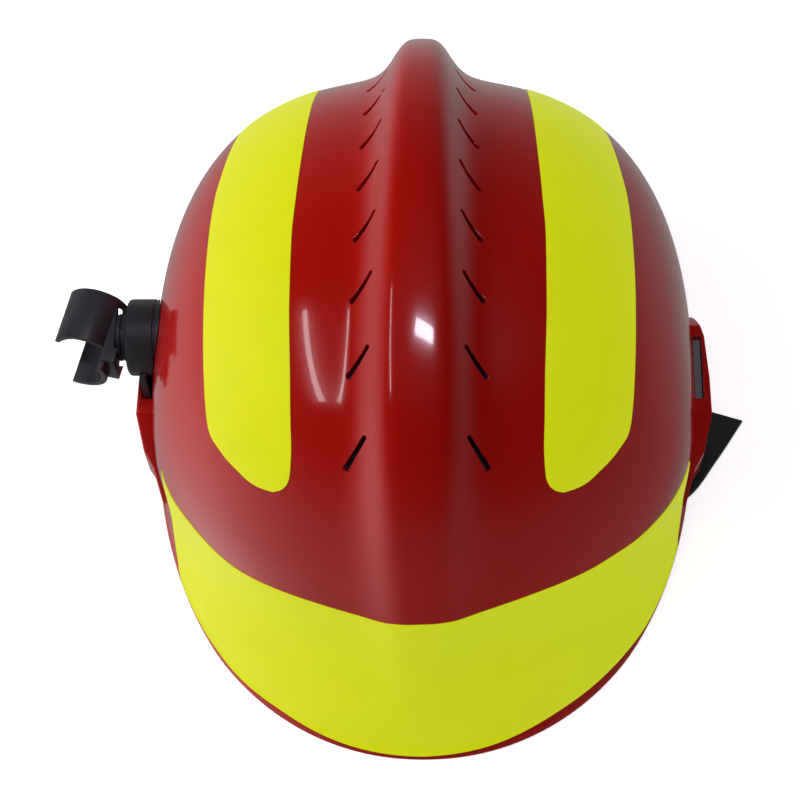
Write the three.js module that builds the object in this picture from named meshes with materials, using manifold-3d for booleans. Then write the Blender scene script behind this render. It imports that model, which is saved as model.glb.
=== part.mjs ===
// Firefighter helmet: a one-piece shell with a crown ridge and sixteen vents, stickers, liner,
// head harness with a ratchet, a four-point chin strap and a torch holder on the wearer's right.
// Millimetres, Z up, the helmet faces -Y and stands on the flat lands of its rim at z = 0.
import * as THREE from "three";
import { mergeVertices } from "three/addons/utils/BufferGeometryUtils.js";
import Module from "manifold-3d";

const wasm = await Module();
wasm.setup();

// ---- driving dimensions -------------------------------------------------------------------
const SHIFT = [6.7, 2.2, 0];        // moves the helmet so that the whole part's box is centred
const HALF_WIDTH = 114.5;           // shell, centre plane to the ear
const EAR_Y = -4;                   // the ear axis that the shell's sections fan around
const EAR_Z = 9;
const WALL = 3;
const GAP = 0.4;                   // clearance between neighbouring pieces
const PROFILE = [                   // centre-plane outline from the peak's tip to the nape
  [-153, -4], [-140, 14], [-124, 32], [-110, 51], [-102, 85], [-84, 122], [-45, 143],
  [0, 149], [45, 145], [90, 129], [122, 93], [136, 45], [130, -8],
];
const RIDGE_HEIGHT = [[0.08, 0], [0.2, 4], [0.35, 9], [0.6, 14], [0.8, 18], [0.9, 15], [1, 6]];
const RIDGE_HALF_WIDTH = [[0.2, 17.5], [0.5, 18.3], [0.66, 15.6], [0.8, 13], [0.9, 12.2]];
const RIDGE_POWER = [[0.2, 3.2], [0.32, 3.6], [0.5, 7.5], [0.66, 6], [0.8, 4.2], [0.9, 3.5]];
const VENTS_PER_SIDE = 8;
const VENT_START = 165;             // along the profile from the peak's tip
const VENT_STEP = [22, 14.6, 0.45];  // spacing at the back, extra at the front, how fast it fades
const VENT_HALF_LENGTH = [4.5, 1.8];
const VENT_SLANT = 3.5;
const VENT_RADIUS = 1;
const VENT_X = [[0.42, 23.4], [0.82, 17]];
const STICKER_LIFT = 0.85;
const STICKER_THICK = 0.5;
const LINER_THICK = 10;
const POCKET_X = 120.5;             // outer face of the side pockets
const SLOT_X = [114, 117.6];        // the pocket's slot, inner and outer side
const SLOT_Y = [-7, 22];
const SLOT_FLOOR = 16;
const POCKET_TOP = 43;
const TURRET = { y: 12, z: 62, r: 16, end: 122 };
const DISC = { r: 9.8, thick: 4.2 };
const CLIP = { x: 139.2, r: 12.7, wall: 2.4, lean: 0.22, upper: [-16.4, 6.6], lower: [-9, 15.8] };
const BAND = { y: -4, ry: 97, rx: 78, thick: 1.6, z0: 14, z1: 40 };
const NAPE = { y: 11, ry: 97, rx: 81.5, thick: 1.6, z0: 18, z1: 30 };
const RATCHET = { y: 109.2, z: 26, w: 46, d: 8.6, h: 34, knob: 17 };
const WEB = 1.8;                    // chin strap webbing, thickness and width
const WEB_W = 20;
const CROWN_W = 16;
const FLOOR = 0.4;

// ---- finishes -----------------------------------------------------------------------------
const finish = (color, roughness, metalness = 0) => ({ color, roughness, metalness });
const RED = finish(0x96100a, 0.15);
const YELLOW = finish(0xd3e012, 0.35);
const BLACK = finish(0x262426, 0.55);
const GREY = finish(0x4a4c50, 0.6);
const WEBBING = finish(0x1d1d20, 0.95);
const FOAM = finish(0x3a3d42, 0.98);
const LEATHER = finish(0x2b211c, 0.8);
const STEEL = finish(0xb4b7ba, 0.35, 0.9);

const helmet = new THREE.Group();
helmet.name = "firefighter_helmet";
helmet.position.set(...SHIFT);

function add(name, geometry, look) {
  const mesh = new THREE.Mesh(geometry, new THREE.MeshStandardMaterial(look));
  mesh.name = name;
  helmet.add(mesh);
  return mesh;
}

// ---- solids -------------------------------------------------------------------------------
function solid(geometry) {
  const g = geometry.clone();
  g.deleteAttribute("normal");
  if (g.attributes.uv) g.deleteAttribute("uv");
  const m = mergeVertices(g, 1e-4);
  const index = Array.from(m.index.array);
  const tris = [];
  for (let i = 0; i < index.length; i += 3) {
    const [a, b, c] = index.slice(i, i + 3);
    if (a !== b && b !== c && c !== a) tris.push(a, b, c);
  }
  return new wasm.Manifold(new wasm.Mesh({
    numProp: 3,
    vertProperties: new Float32Array(m.attributes.position.array),
    triVerts: new Uint32Array(tris),
  }));
}

function geometryOf(manifold) {
  const m = manifold.getMesh();
  const g = new THREE.BufferGeometry();
  g.setAttribute("position", new THREE.BufferAttribute(new Float32Array(m.vertProperties), 3));
  g.setIndex(new THREE.BufferAttribute(new Uint32Array(m.triVerts), 1));
  g.computeVertexNormals();
  return g;
}

function fromGrid(rows) {
  // A closed solid from a loop of rows; the first and last column each fold to a seam or a point.
  const points = [];
  const index = [];
  const n = rows[0].length;
  rows.forEach((row) => row.forEach((p) => points.push(...p)));
  rows.forEach((_, j) => {
    const k = (j + 1) % rows.length;
    for (let i = 0; i < n - 1; i++) {
      const a = j * n + i;
      const b = k * n + i;
      index.push(a, a + 1, b + 1, a, b + 1, b);
    }
  });
  const g = new THREE.BufferGeometry();
  g.setAttribute("position", new THREE.BufferAttribute(new Float32Array(points), 3));
  g.setIndex(index);
  return g;
}

function box(x0, x1, y0, y1, z0, z1) {
  const g = new THREE.BoxGeometry(x1 - x0, y1 - y0, z1 - z0);
  g.translate((x0 + x1) / 2, (y0 + y1) / 2, (z0 + z1) / 2);
  return g;
}

function rounded(w, h, r) {
  const s = new THREE.Shape();
  s.moveTo(-w / 2 + r, -h / 2);
  s.lineTo(w / 2 - r, -h / 2);
  s.absarc(w / 2 - r, -h / 2 + r, r, -Math.PI / 2, 0);
  s.absarc(w / 2 - r, h / 2 - r, r, 0, Math.PI / 2);
  s.absarc(-w / 2 + r, h / 2 - r, r, Math.PI / 2, Math.PI);
  s.absarc(-w / 2 + r, -h / 2 + r, r, Math.PI, 1.5 * Math.PI);
  return s;
}

function extrude(shape, depth, curveSegments = 4) {
  return new THREE.ExtrudeGeometry(shape, { depth, bevelEnabled: false, curveSegments });
}

function polygon(points) {
  return new THREE.Shape(points.map(([x, y]) => new THREE.Vector2(x, y)));
}

function place(geometry, at, xDir, zDir) {
  // Puts a shape drawn in its own XY plane at a point, with its X and Z along two directions.
  const x = new THREE.Vector3(...xDir).normalize();
  const z = new THREE.Vector3(...zDir).normalize();
  const y = new THREE.Vector3().crossVectors(z, x).normalize();
  x.crossVectors(y, z);
  const m = new THREE.Matrix4().makeBasis(x, y, z).setPosition(...at);
  return geometry.clone().applyMatrix4(m);
}

function rod(r, length, at, axis, sides = 20) {
  const g = new THREE.CylinderGeometry(r, r, length, sides);
  g.rotateX(Math.PI / 2);
  g.translate(0, 0, length / 2);
  const side = Math.abs(axis[2]) > 0.9 ? [1, 0, 0] : [0, 0, 1];
  return place(g, at, side, axis);
}

function turned(profile, at, axis, sides = 24) {
  // A closed profile of [radius, height] turned about an axis.
  const pts = [...profile, profile[0]].map(([r, h]) => new THREE.Vector2(r, h));
  const g = new THREE.LatheGeometry(pts, sides);
  g.rotateX(Math.PI / 2);
  const side = Math.abs(axis[2]) > 0.9 ? [1, 0, 0] : [0, 0, 1];
  return place(g, at, side, axis);
}

function ribbon(points, sides, width, thick, steps) {
  // A flat strap along a smooth path; each point has the direction its width runs in.
  const path = new THREE.CatmullRomCurve3(points.map((p) => new THREE.Vector3(...p)));
  const rows = [[], [], [], []];
  for (let i = 0; i <= steps; i++) {
    const u = i / steps;
    const at = path.getPoint(u);
    const along = path.getTangent(u);
    const f = u * (sides.length - 1);
    const k = Math.min(Math.floor(f), sides.length - 2);
    const side = new THREE.Vector3(...sides[k]).lerp(new THREE.Vector3(...sides[k + 1]), f - k);
    side.addScaledVector(along, -side.dot(along)).normalize();
    const up = new THREE.Vector3().crossVectors(side, along).normalize();
    const corners = [[-1, -1], [1, -1], [1, 1], [-1, 1]];
    corners.forEach(([a, b], c) => {
      const p = at.clone().addScaledVector(side, (a * width) / 2).addScaledVector(up, (b * thick) / 2);
      rows[c].push([p.x, p.y, p.z]);
    });
  }
  const ends = rows.map((row) => {
    const first = rows.map((r) => r[0]);
    const last = rows.map((r) => r[steps]);
    const mid = (list) => [0, 1, 2].map((a) => list.reduce((s, p) => s + p[a], 0) / 4);
    return [mid(first), ...row, mid(last)];
  });
  return outward(fromGrid(ends));
}

function outward(geometry) {
  // Turns a closed solid's faces outwards if they point in.
  const p = geometry.attributes.position;
  const index = Array.from(geometry.index.array);
  const v = [new THREE.Vector3(), new THREE.Vector3(), new THREE.Vector3()];
  let volume = 0;
  for (let i = 0; i < index.length; i += 3) {
    v.forEach((q, c) => q.fromBufferAttribute(p, index[i + c]));
    volume += v[0].dot(v[1].clone().cross(v[2]));
  }
  if (volume < 0) {
    for (let i = 0; i < index.length; i += 3) {
      [index[i], index[i + 1]] = [index[i + 1], index[i]];
    }
  }
  const g = new THREE.BufferGeometry();
  g.setAttribute("position", p.clone());
  g.setIndex(index);
  return g;
}

// ---- the shell's surface --------------------------------------------------------------------
const clamp = (v, a, b) => Math.min(b, Math.max(a, v));
const smooth = (v) => {
  const s = clamp(v, 0, 1);
  return s * s * (3 - 2 * s);
};

function between(table, t) {
  if (t <= table[0][0]) return table[0][1];
  for (let i = 1; i < table.length; i++) {
    const [a, va] = table[i - 1];
    const [b, vb] = table[i];
    if (t <= b) return va + ((vb - va) * (t - a)) / (b - a);
  }
  return table[table.length - 1][1];
}

function profile(t) {
  const n = PROFILE.length - 1;
  const before = PROFILE[0].map((v, a) => 2 * v - PROFILE[1][a]);
  const after = PROFILE[n].map((v, a) => 2 * v - PROFILE[n - 1][a]);
  const p = [before, ...PROFILE, after];
  const s = clamp(t, 0, 1) * n;
  const i = Math.min(Math.floor(s), n - 1);
  const f = s - i;
  const w = [
    (1 - f) ** 3 / 6,
    (3 * f ** 3 - 6 * f ** 2 + 4) / 6,
    (-3 * f ** 3 + 3 * f ** 2 + 3 * f + 1) / 6,
    f ** 3 / 6,
  ];
  return [0, 1].map((a) => w.reduce((sum, wk, k) => sum + wk * p[i + k][a], 0));
}

function surface(t, x, lift = 0) {
  // The shell's outside at t (0 = peak, 1 = nape) and x; lift moves it out along the section.
  const half = HALF_WIDTH + lift;
  const [y, z] = profile(t);
  const dy = y - EAR_Y;
  const dz = z - EAR_Z;
  const length = Math.hypot(dy, dz);
  const n = 2.08 + 0.6 * smooth((t - 0.1) / 0.5);
  const q = Math.min(Math.abs(x) / half, 1);
  const k = (1 - q ** n) ** (1 / n);
  const width = between(RIDGE_HALF_WIDTH, t) + Math.min(lift, 0) * 0.6;
  const height = lift < -WALL - 0.1 ? 0 : between(RIDGE_HEIGHT, t);
  const u = Math.abs(x) / width;
  const power = between(RIDGE_POWER, t);
  const ridge = (height * (1 - q * q) * (1 - 0.04 * (power - 3) * u * u)) / (1 + u ** power);
  const r = (length + lift) * k + ridge;
  return [x, EAR_Y + (dy / length) * r, EAR_Z + (dz / length) * r];
}

function above(t, x, lift) {
  // A point at a true distance from the outside.
  const p = new THREE.Vector3(...surface(t, x));
  const dt = new THREE.Vector3(...surface(t + 0.002, x)).sub(p);
  const dx = new THREE.Vector3(...surface(t, x + 0.2)).sub(p);
  return p.addScaledVector(dx.cross(dt).normalize(), lift).toArray();
}

function wallAt(y, z, lift) {
  // How far the shell's surface is from the centre plane at a height and a distance from the front.
  const heading = Math.atan2(z - EAR_Z, -(y - EAR_Y));
  const reach = Math.hypot(y - EAR_Y, z - EAR_Z);
  let [a, b] = [0, 1];
  for (let i = 0; i < 40; i++) {
    const t = (a + b) / 2;
    const [py, pz] = profile(t);
    if (Math.atan2(pz - EAR_Z, -(py - EAR_Y)) < heading) a = t;
    else b = t;
  }
  let [near, far] = [0, HALF_WIDTH + lift];
  for (let i = 0; i < 40; i++) {
    const x = (near + far) / 2;
    const [, py, pz] = surface(a, x, lift);
    if (Math.hypot(py - EAR_Y, pz - EAR_Z) > reach) near = x;
    else far = x;
  }
  return near;
}

const ARC = [0];
for (let i = 1; i <= 400; i++) {
  const [y0, z0] = surface((i - 1) / 400, 0).slice(1);
  const [y1, z1] = surface(i / 400, 0).slice(1);
  ARC.push(ARC[i - 1] + Math.hypot(y1 - y0, z1 - z0));
}

function along(distance) {
  const i = ARC.findIndex((a) => a >= distance);
  return (i - 1 + (distance - ARC[i - 1]) / (ARC[i] - ARC[i - 1])) / 400;
}

function columns(half, ridge, side) {
  const xs = [0];
  for (let i = 1; i <= ridge; i++) xs.push((30 * i) / ridge);
  const start = Math.asin((30 / half) ** 1.15);
  for (let i = 1; i <= side; i++) {
    xs.push(half * Math.sin(start + ((Math.PI / 2 - start) * i) / side) ** (1 / 1.15));
  }
  return [...xs.slice(1).reverse().map((x) => -x), ...xs];
}

function dome(lift, rows, ridge, side, skirt) {
  const xs = columns(HALF_WIDTH + lift, ridge, side);
  const loop = [xs.map((x) => [x, EAR_Y, EAR_Z - skirt])];
  const down = (p) => [p[0], p[1], p[2] - skirt];
  if (skirt) loop.push(xs.map((x) => down(surface(0, x, lift))));
  for (let j = 0; j <= rows; j++) loop.push(xs.map((x) => surface(j / rows, x, lift)));
  if (skirt) loop.push(xs.map((x) => down(surface(1, x, lift))));
  return solid(outward(mergeVertices(fromGrid(loop), 1e-4)));
}

const OUTSIDE_GRID = [30, 10, 10];    // rows over the crown, columns on the ridge and on each side
const INSIDE_GRID = [20, 6, 8];

function patch(edges, rows, cols, lift, thick, point = above) {
  // A sheet over the shell between two edges, x0(v) to x1(v) or t0(u) to t1(u), with thickness.
  const inner = [];
  const outer = [];
  for (let j = 0; j <= rows; j++) {
    const a = [];
    const b = [];
    for (let i = 0; i <= cols; i++) {
      const [t, x] = edges(j / rows, i / cols);
      a.push(point(t, x, lift));
      b.push(point(t, x, lift + thick));
    }
    inner.push(a);
    outer.push(b);
  }
  return outward(sheet(inner, outer));
}

function sheet(inner, outer) {
  // Closes two grids of the same size into one solid.
  const rows = inner.length - 1;
  const cols = inner[0].length - 1;
  const points = [...inner, ...outer].flat(2);
  const at = (s, j, i) => (s * (rows + 1) + j) * (cols + 1) + i;
  const index = [];
  const quad = (a, b, c, d) => index.push(a, b, c, a, c, d);
  for (let j = 0; j < rows; j++) {
    for (let i = 0; i < cols; i++) {
      quad(at(0, j, i), at(0, j, i + 1), at(0, j + 1, i + 1), at(0, j + 1, i));
      quad(at(1, j, i), at(1, j + 1, i), at(1, j + 1, i + 1), at(1, j, i + 1));
    }
    quad(at(0, j, 0), at(0, j + 1, 0), at(1, j + 1, 0), at(1, j, 0));
    quad(at(0, j + 1, cols), at(0, j, cols), at(1, j, cols), at(1, j + 1, cols));
  }
  for (let i = 0; i < cols; i++) {
    quad(at(0, 0, i + 1), at(0, 0, i), at(1, 0, i), at(1, 0, i + 1));
    quad(at(0, rows, i), at(0, rows, i + 1), at(1, rows, i + 1), at(1, rows, i));
  }
  const g = new THREE.BufferGeometry();
  g.setAttribute("position", new THREE.BufferAttribute(new Float32Array(points), 3));
  g.setIndex(index);
  return g;
}

// ---- shell with vents, side pockets and flat rim lands ----------------------------------------
function pocket(side) {
  const plan = polygon([
    [100, 38], [112, 38], [116.2, 31.5], [118.9, 22], [120.3, 2],
    [POCKET_X, -14], [118, -26], [114.6, -31], [111.5, -42], [100, -42],
  ].map(([x, y]) => [side * x, y]));
  const face = polygon([
    [-42, 9.5], [-39, 14], [-26, 31], [-14, POCKET_TOP], [27, POCKET_TOP], [33.5, 38], [38, 9.5],
  ]);
  const tall = solid(extrude(plan, 60));
  const wide = solid(place(extrude(face, 260), [-130, 0, 0], [0, 1, 0], [1, 0, 0]));
  return tall.intersect(wide);
}

function pocketSlot(side) {
  const [a, b] = SLOT_X.map((x) => x * side).sort((p, q) => p - q);
  return solid(box(a, b, SLOT_Y[0], SLOT_Y[1], SLOT_FLOOR, 60));
}

function ventTool(distance, side, halfLength) {
  const middle = along(distance);
  const x = between(VENT_X, middle);
  const near = surface(along(distance - halfLength), side * (x + VENT_SLANT));
  const far = surface(along(distance + halfLength), side * (x - VENT_SLANT));
  const p = new THREE.Vector3(...near);
  const q = new THREE.Vector3(...far);
  const run = q.clone().sub(p);
  const centre = surface(middle, side * x);
  const outwards = new THREE.Vector3(side * 8, centre[1] - EAR_Y, centre[2] - EAR_Z).normalize();
  const start = p.clone().add(q).multiplyScalar(0.5).addScaledVector(outwards, -14);
  const shape = rounded(run.length() + 2 * VENT_RADIUS, 2 * VENT_RADIUS, VENT_RADIUS * 0.98);
  return solid(place(extrude(shape, 24, 2), start.toArray(), run.toArray(), outwards.toArray()));
}

let shell = dome(0, ...OUTSIDE_GRID, 0);
for (const side of [-1, 1]) shell = shell.add(pocket(side));
shell = shell.subtract(dome(-WALL, ...INSIDE_GRID, 25));
for (const side of [-1, 1]) {
  shell = shell.subtract(pocketSlot(side));
  let distance = VENT_START;
  for (let i = 0; i < VENTS_PER_SIDE; i++) {
    const [shortest, extra] = VENT_HALF_LENGTH;
    shell = shell.subtract(ventTool(distance, side, shortest + extra * Math.exp(-0.7 * i)));
    const [step, more, fade] = VENT_STEP;
    distance += step + more * Math.exp(-fade * i);
  }
}
shell = shell.subtract(solid(box(-200, 200, -200, 200, -40, 0)));
add("shell", geometryOf(shell), RED);

// ---- reflective stickers ----------------------------------------------------------------------
function bandSticker(side) {
  // Two long edges run rearwards; both ends are rounded corners.
  const inner = (t) => 48.3 - 4.2 * smooth((t - 0.62) / 0.2) - 1.3 * smooth((0.5 - t) / 0.06);
  const outer = (t) => 83.2 - 3.2 * smooth((0.53 - t) / 0.08) - 5 * smooth((t - 0.66) / 0.16);
  return patch((v, u) => {
    const t = 0.411 + 0.435 * v;
    const front = Math.sqrt(clamp((t - 0.4105) / 0.052, 0, 1));
    const rear = Math.sqrt(clamp((0.8465 - t) / 0.05, 0, 1));
    const close = Math.min(front, rear);
    const a = 57 + (inner(t) - 57) * Math.min(1, 1.9 * close);
    const b = 57 + (outer(t) - 57) * close;
    return [t, side * (a + (b - a) * u)];
  }, 22, 4, STICKER_LIFT, STICKER_THICK);
}
add("band_sticker_left", bandSticker(1), YELLOW);
add("band_sticker_right", bandSticker(-1), YELLOW);

function crescent(v, u) {
  const x = 106 * (2 * u - 1);
  const q = Math.abs(x) / 106;
  const top = 0.261 + 0.024 * smooth((Math.abs(x) - 14) / 40) + 0.085 * q ** 6;
  const low = 0.031 + 0.004 * smooth(q / 0.5) - 0.014 * smooth((q - 0.6) / 0.3)
    + 0.2 * smooth((q - 0.94) / 0.06);
  return [low + (top - low) * v, x];
}
add("front_sticker", patch(crescent, 6, 32, STICKER_LIFT, STICKER_THICK), YELLOW);

// ---- foam liner -------------------------------------------------------------------------------
function linerEdges(v, u) {
  const t = 0.335 + 0.485 * v;
  return [t, 84 * (2 * u - 1)];
}
add("liner", patch(
  linerEdges, 12, 14, -WALL - LINER_THICK - 1.8, LINER_THICK, surface,
), FOAM);

// ---- torch holder on the wearer's right -------------------------------------------------------
const clearOfShell = dome(0.5, ...OUTSIDE_GRID, 0);
let bracket = solid(turned(
  [[0, 0], [TURRET.r, 0], [TURRET.r, 21], [TURRET.r - 1.2, 22], [0, 22]],
  [-100, TURRET.y, TURRET.z], [-1, 0, 0], 32,
));
bracket = bracket.subtract(clearOfShell);
bracket = bracket.add(solid(box(
  -SLOT_X[1] + GAP, -SLOT_X[0] - GAP, SLOT_Y[0] + GAP, SLOT_Y[1] - GAP, SLOT_FLOOR + GAP, 60,
)));
bracket = bracket.subtract(solid(rod(2.6, 40, [-95, TURRET.y, TURRET.z], [-1, 0, 0])));
bracket = bracket.subtract(solid(rod(8.6, 10, [-120.4, TURRET.y, TURRET.z], [-1, 0, 0], 28)));
bracket = bracket.subtract(solid(rod(5.6, 20.6, [-96, TURRET.y, TURRET.z], [-1, 0, 0])));
add("lamp_bracket", geometryOf(bracket), BLACK);

const washer = [[3, 0], [7.8, 0], [7.8, 1], [3, 1]];
add("lamp_washer", turned(washer, [-120.8, TURRET.y, TURRET.z], [-1, 0, 0]), STEEL);
let disc = solid(rod(DISC.r, DISC.thick, [-122.3, TURRET.y, TURRET.z], [-1, 0, 0], 28));
disc = disc.subtract(solid(rod(2.6, 30, [-110, TURRET.y, TURRET.z], [-1, 0, 0])));
add("lamp_disc", geometryOf(disc), BLACK);
const screw = [[0, 0], [5, 0], [5, 1.8], [2.2, 1.8], [2.2, 11.6], [0, 11.6]];
add("lamp_pivot_screw", turned(screw, [-114.4, TURRET.y, TURRET.z], [-1, 0, 0]), STEEL);

// the torch clip: in its own plane X points at the helmet, Y up, and Z runs forwards
const forward = [-Math.sin(CLIP.lean), -Math.cos(CLIP.lean), 0];
const inward = [Math.cos(CLIP.lean), -Math.sin(CLIP.lean), 0];
const barrel = (g) => solid(place(g, [-CLIP.x, TURRET.y, TURRET.z], inward, forward));
function jaw(from, to, [start, end]) {
  const s = new THREE.Shape();
  s.absarc(0, 0, CLIP.r, from, to, false);
  s.absarc(0, 0, CLIP.r - CLIP.wall, to, from, true);
  const g = extrude(s, end - start, 11);
  g.translate(0, 0, start);
  return g;
}
let clip = barrel(jaw(-0.5, 0.89 * Math.PI, CLIP.upper));
clip = clip.add(barrel(jaw(-0.61 * Math.PI, 0.5, CLIP.lower)));
clip = clip.add(barrel(box(CLIP.r - 3, CLIP.r + 3, -8.2, 8.2, -11, 12.2)));
clip = clip.subtract(barrel(rod(CLIP.r - CLIP.wall, 60, [0, 0, -30], [0, 0, 1], 32)));
const discRoom = [-DISC.thick - 122.3 - GAP, TURRET.y, TURRET.z];
clip = clip.subtract(solid(rod(DISC.r + 2.5, 30, discRoom, [1, 0, 0], 32)));
add("torch_clip", geometryOf(clip), BLACK);

add("pocket_plug", box(
  SLOT_X[0] + GAP, SLOT_X[1] - GAP, SLOT_Y[0] + GAP, SLOT_Y[1] - GAP, SLOT_FLOOR + GAP, POCKET_TOP - 3,
), GREY);

// ---- head harness -----------------------------------------------------------------------------
function bandShape(b, from, to, steps, inside, thick) {
  // An open band in plan, following an ellipse; angles are from the back of the head.
  const pts = [];
  for (let i = 0; i <= steps; i++) {
    const a = from + ((to - from) * i) / steps;
    pts.push([(b.rx + inside + thick) * Math.sin(a), b.y + (b.ry + inside + thick) * Math.cos(a)]);
  }
  for (let i = steps; i >= 0; i--) {
    const a = from + ((to - from) * i) / steps;
    pts.push([(b.rx + inside) * Math.sin(a), b.y + (b.ry + inside) * Math.cos(a)]);
  }
  return polygon(pts);
}
function raised(shape, z0, z1) {
  const g = extrude(shape, z1 - z0);
  g.translate(0, 0, z0);
  return g;
}
const OPEN = 0.72;
add("headband", raised(
  bandShape(BAND, OPEN, 2 * Math.PI - OPEN, 44, -BAND.thick / 2, BAND.thick), BAND.z0, BAND.z1,
), BLACK);
add("sweatband", raised(
  bandShape(BAND, Math.PI - 1.15, Math.PI + 1.15, 20, -6.2, 5), BAND.z0 - 2, BAND.z1 + 2,
), LEATHER);

const napePoints = [];
const arms = [[1, -28], [1, -8]];
arms.forEach(([s, y]) => napePoints.push([s * NAPE.rx, y]));
for (let i = 0; i <= 24; i++) {
  const a = Math.PI / 2 - (Math.PI * i) / 24;
  napePoints.push([NAPE.rx * Math.sin(a), NAPE.y + NAPE.ry * Math.cos(a)]);
}
arms.reverse().forEach(([s, y]) => napePoints.push([-s * NAPE.rx, y]));
function offsetPath(points, d) {
  return points.map(([x, y], i) => {
    const a = points[Math.max(i - 1, 0)];
    const b = points[Math.min(i + 1, points.length - 1)];
    const l = Math.hypot(b[0] - a[0], b[1] - a[1]);
    return [x - (d * (b[1] - a[1])) / l, y + (d * (b[0] - a[0])) / l];
  });
}
const nape = polygon([
  ...offsetPath(napePoints, NAPE.thick / 2), ...offsetPath(napePoints, -NAPE.thick / 2).reverse(),
]);
add("nape_strap", raised(nape, NAPE.z0, NAPE.z1), BLACK);

for (const [name, side] of [["band_guide_left", 1], ["band_guide_right", -1]]) {
  const x = [79.3, 84.9].map((v) => v * side).sort((p, q) => p - q);
  const hole = [80.3, 83.6].map((v) => v * side).sort((p, q) => p - q);
  const body = solid(box(x[0], x[1], -22, -12, 15.5, 32.5));
  add(name, geometryOf(body.subtract(solid(box(hole[0], hole[1], -30, 0, 17.5, 30.5)))), BLACK);
}

const pad = bandShape({ ...NAPE }, -0.42, 0.42, 12, -9.4, 8);
add("nape_pad", raised(pad, 12, 40), LEATHER);

const axisY = [0, 1, 0];
const rear = RATCHET.y;
let housing = solid(place(
  extrude(rounded(RATCHET.w, RATCHET.h, 8), RATCHET.d), [0, rear, RATCHET.z], [1, 0, 0], axisY,
));
housing = housing.subtract(solid(rod(9, 6, [0, rear + 4, RATCHET.z], axisY, 28)));
housing = housing.subtract(solid(rod(1.9, 20, [0, rear - 2, RATCHET.z], axisY)));
add("ratchet_housing", geometryOf(housing), BLACK);

function gear(r, tooth, count, depth, hole) {
  const pts = [];
  for (let i = 0; i < count * 4; i++) {
    const a = (2 * Math.PI * i) / (count * 4);
    const q = i % 4 < 2 ? r : r - tooth;
    pts.push([q * Math.cos(a), q * Math.sin(a)]);
  }
  const s = polygon(pts);
  const h = new THREE.Path();
  h.absarc(0, 0, hole, 0, 2 * Math.PI, true);
  s.holes.push(h);
  return extrude(s, depth, 10);
}
const pinion = place(gear(8.2, 1.6, 12, 4, 2.1), [0, rear + 4.3, RATCHET.z], [1, 0, 0], axisY);
add("ratchet_pinion", pinion, GREY);
const knob = place(gear(RATCHET.knob, 1.2, 18, 7, 2.1), [0, rear + 9, RATCHET.z], [1, 0, 0], axisY);
add("ratchet_knob", knob, BLACK);
const stud = [[0, 0], [1.6, 0], [1.6, 15.6], [4.4, 15.6], [4.4, 17], [0, 17]];
add("ratchet_screw", turned(stud, [0, rear + 0.8, RATCHET.z], axisY), STEEL);

// crown straps and the four hangers that hold them and the headband to the shell
const X = [1, 0, 0];
const Y = [0, 1, 0];
add("crown_strap_long", ribbon(
  [[0, -92, 60], [0, -80, 84], [0, -46, 107], [0, 0, 116], [0, 46, 106], [0, 80, 82], [0, 95, 58]],
  [X, X], CROWN_W, 1.4, 24,
), WEBBING);
add("crown_strap_cross", ribbon(
  [[-88, 0, 52], [-80, 0, 84], [-46, 0, 110], [0, 0, 118.2], [46, 0, 110], [80, 0, 84], [88, 0, 52]],
  [Y, Y], CROWN_W, 1.4, 24,
), WEBBING);
const crownPad = place(extrude(rounded(46, 46, 12), 4), [0, 0, 119.6], X, [0, 0, 1]);
add("crown_pad", crownPad, FOAM);

function hanger(name, at, outwards, reach) {
  // A plate with a stud to the shell wall and a hook that the strap's end loops through.
  const side = [outwards[1], -outwards[0], 0];
  const plate = solid(place(extrude(rounded(26, 30, 4), 3), at, side, outwards));
  const arm = solid(place(extrude(rounded(14, 12, 3), reach), at, side, outwards));
  add(name, geometryOf(plate.add(arm)), BLACK);
}
hanger("hanger_front", [0, -95.8, 59], [0, -1, 0], 6.5);
hanger("hanger_rear", [0, 101.6, 60], [0, 1, 0], 25);
hanger("hanger_left", [89.5, 0, 52], [1, 0, 0], 17.9);
hanger("hanger_right", [-89.5, 0, 52], [-1, 0, 0], 17.9);

// ---- chin strap -------------------------------------------------------------------------------
const WEB_HALF = (WEB_W - 1) / 2;
const dir2 = (angle) => [Math.cos(angle), Math.sin(angle), 0];
const at2 = (p, ...moves) => moves.reduce((q, [d, l]) => q.map((v, i) => v + d[i] * l), p);

function anchor(name, side, y, z) {
  // A clasp on the shell's wall: its lower slot takes the webbing's end, a rivet passes above it.
  const wall = [-11, 0, 11].map((d) => wallAt(y + d, z + 9, -WALL));
  const slope = (wall[2] - wall[0]) / 22;
  const out = at2([0, 0, 0], [[side, 0, 0], 1 / Math.hypot(1, slope)], [Y, -slope / Math.hypot(1, slope)]);
  const x = side * (Math.min(wall[1], (wall[0] + wall[2]) / 2) - 7);
  const along = [-out[1], out[0], 0];
  const at = [x, y, z];
  const block = solid(place(extrude(rounded(24, 18, 3), 5.5), at, along, out));
  const slot = box(-WEB_HALF - GAP, WEB_HALF + GAP, -12, 2, 0, WEB + 2 * GAP);
  const hole = rod(2.3, 12, at2(at, [out, -2], [[0, 0, 1], 5.6]), out);
  let body = block.subtract(solid(place(slot, at2(at, [out, 1.4]), along, out)));
  body = body.subtract(solid(hole));
  add(`strap_anchor_${name}`, geometryOf(body), BLACK);
  const rivet = [[0, 0], [3.2, 0], [3.2, 1.2], [1.9, 1.2], [1.9, 7.4], [0, 7.4]];
  const head = at2(at, [out, -1.2 - GAP], [[0, 0, 1], 5.6]);
  add(`anchor_rivet_${name}`, turned(rivet, head, out, 16), STEEL);
  return { top: at2(at, [out, 1.4 + GAP + WEB / 2], [[0, 0, 1], 1.4]), along };
}

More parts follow.
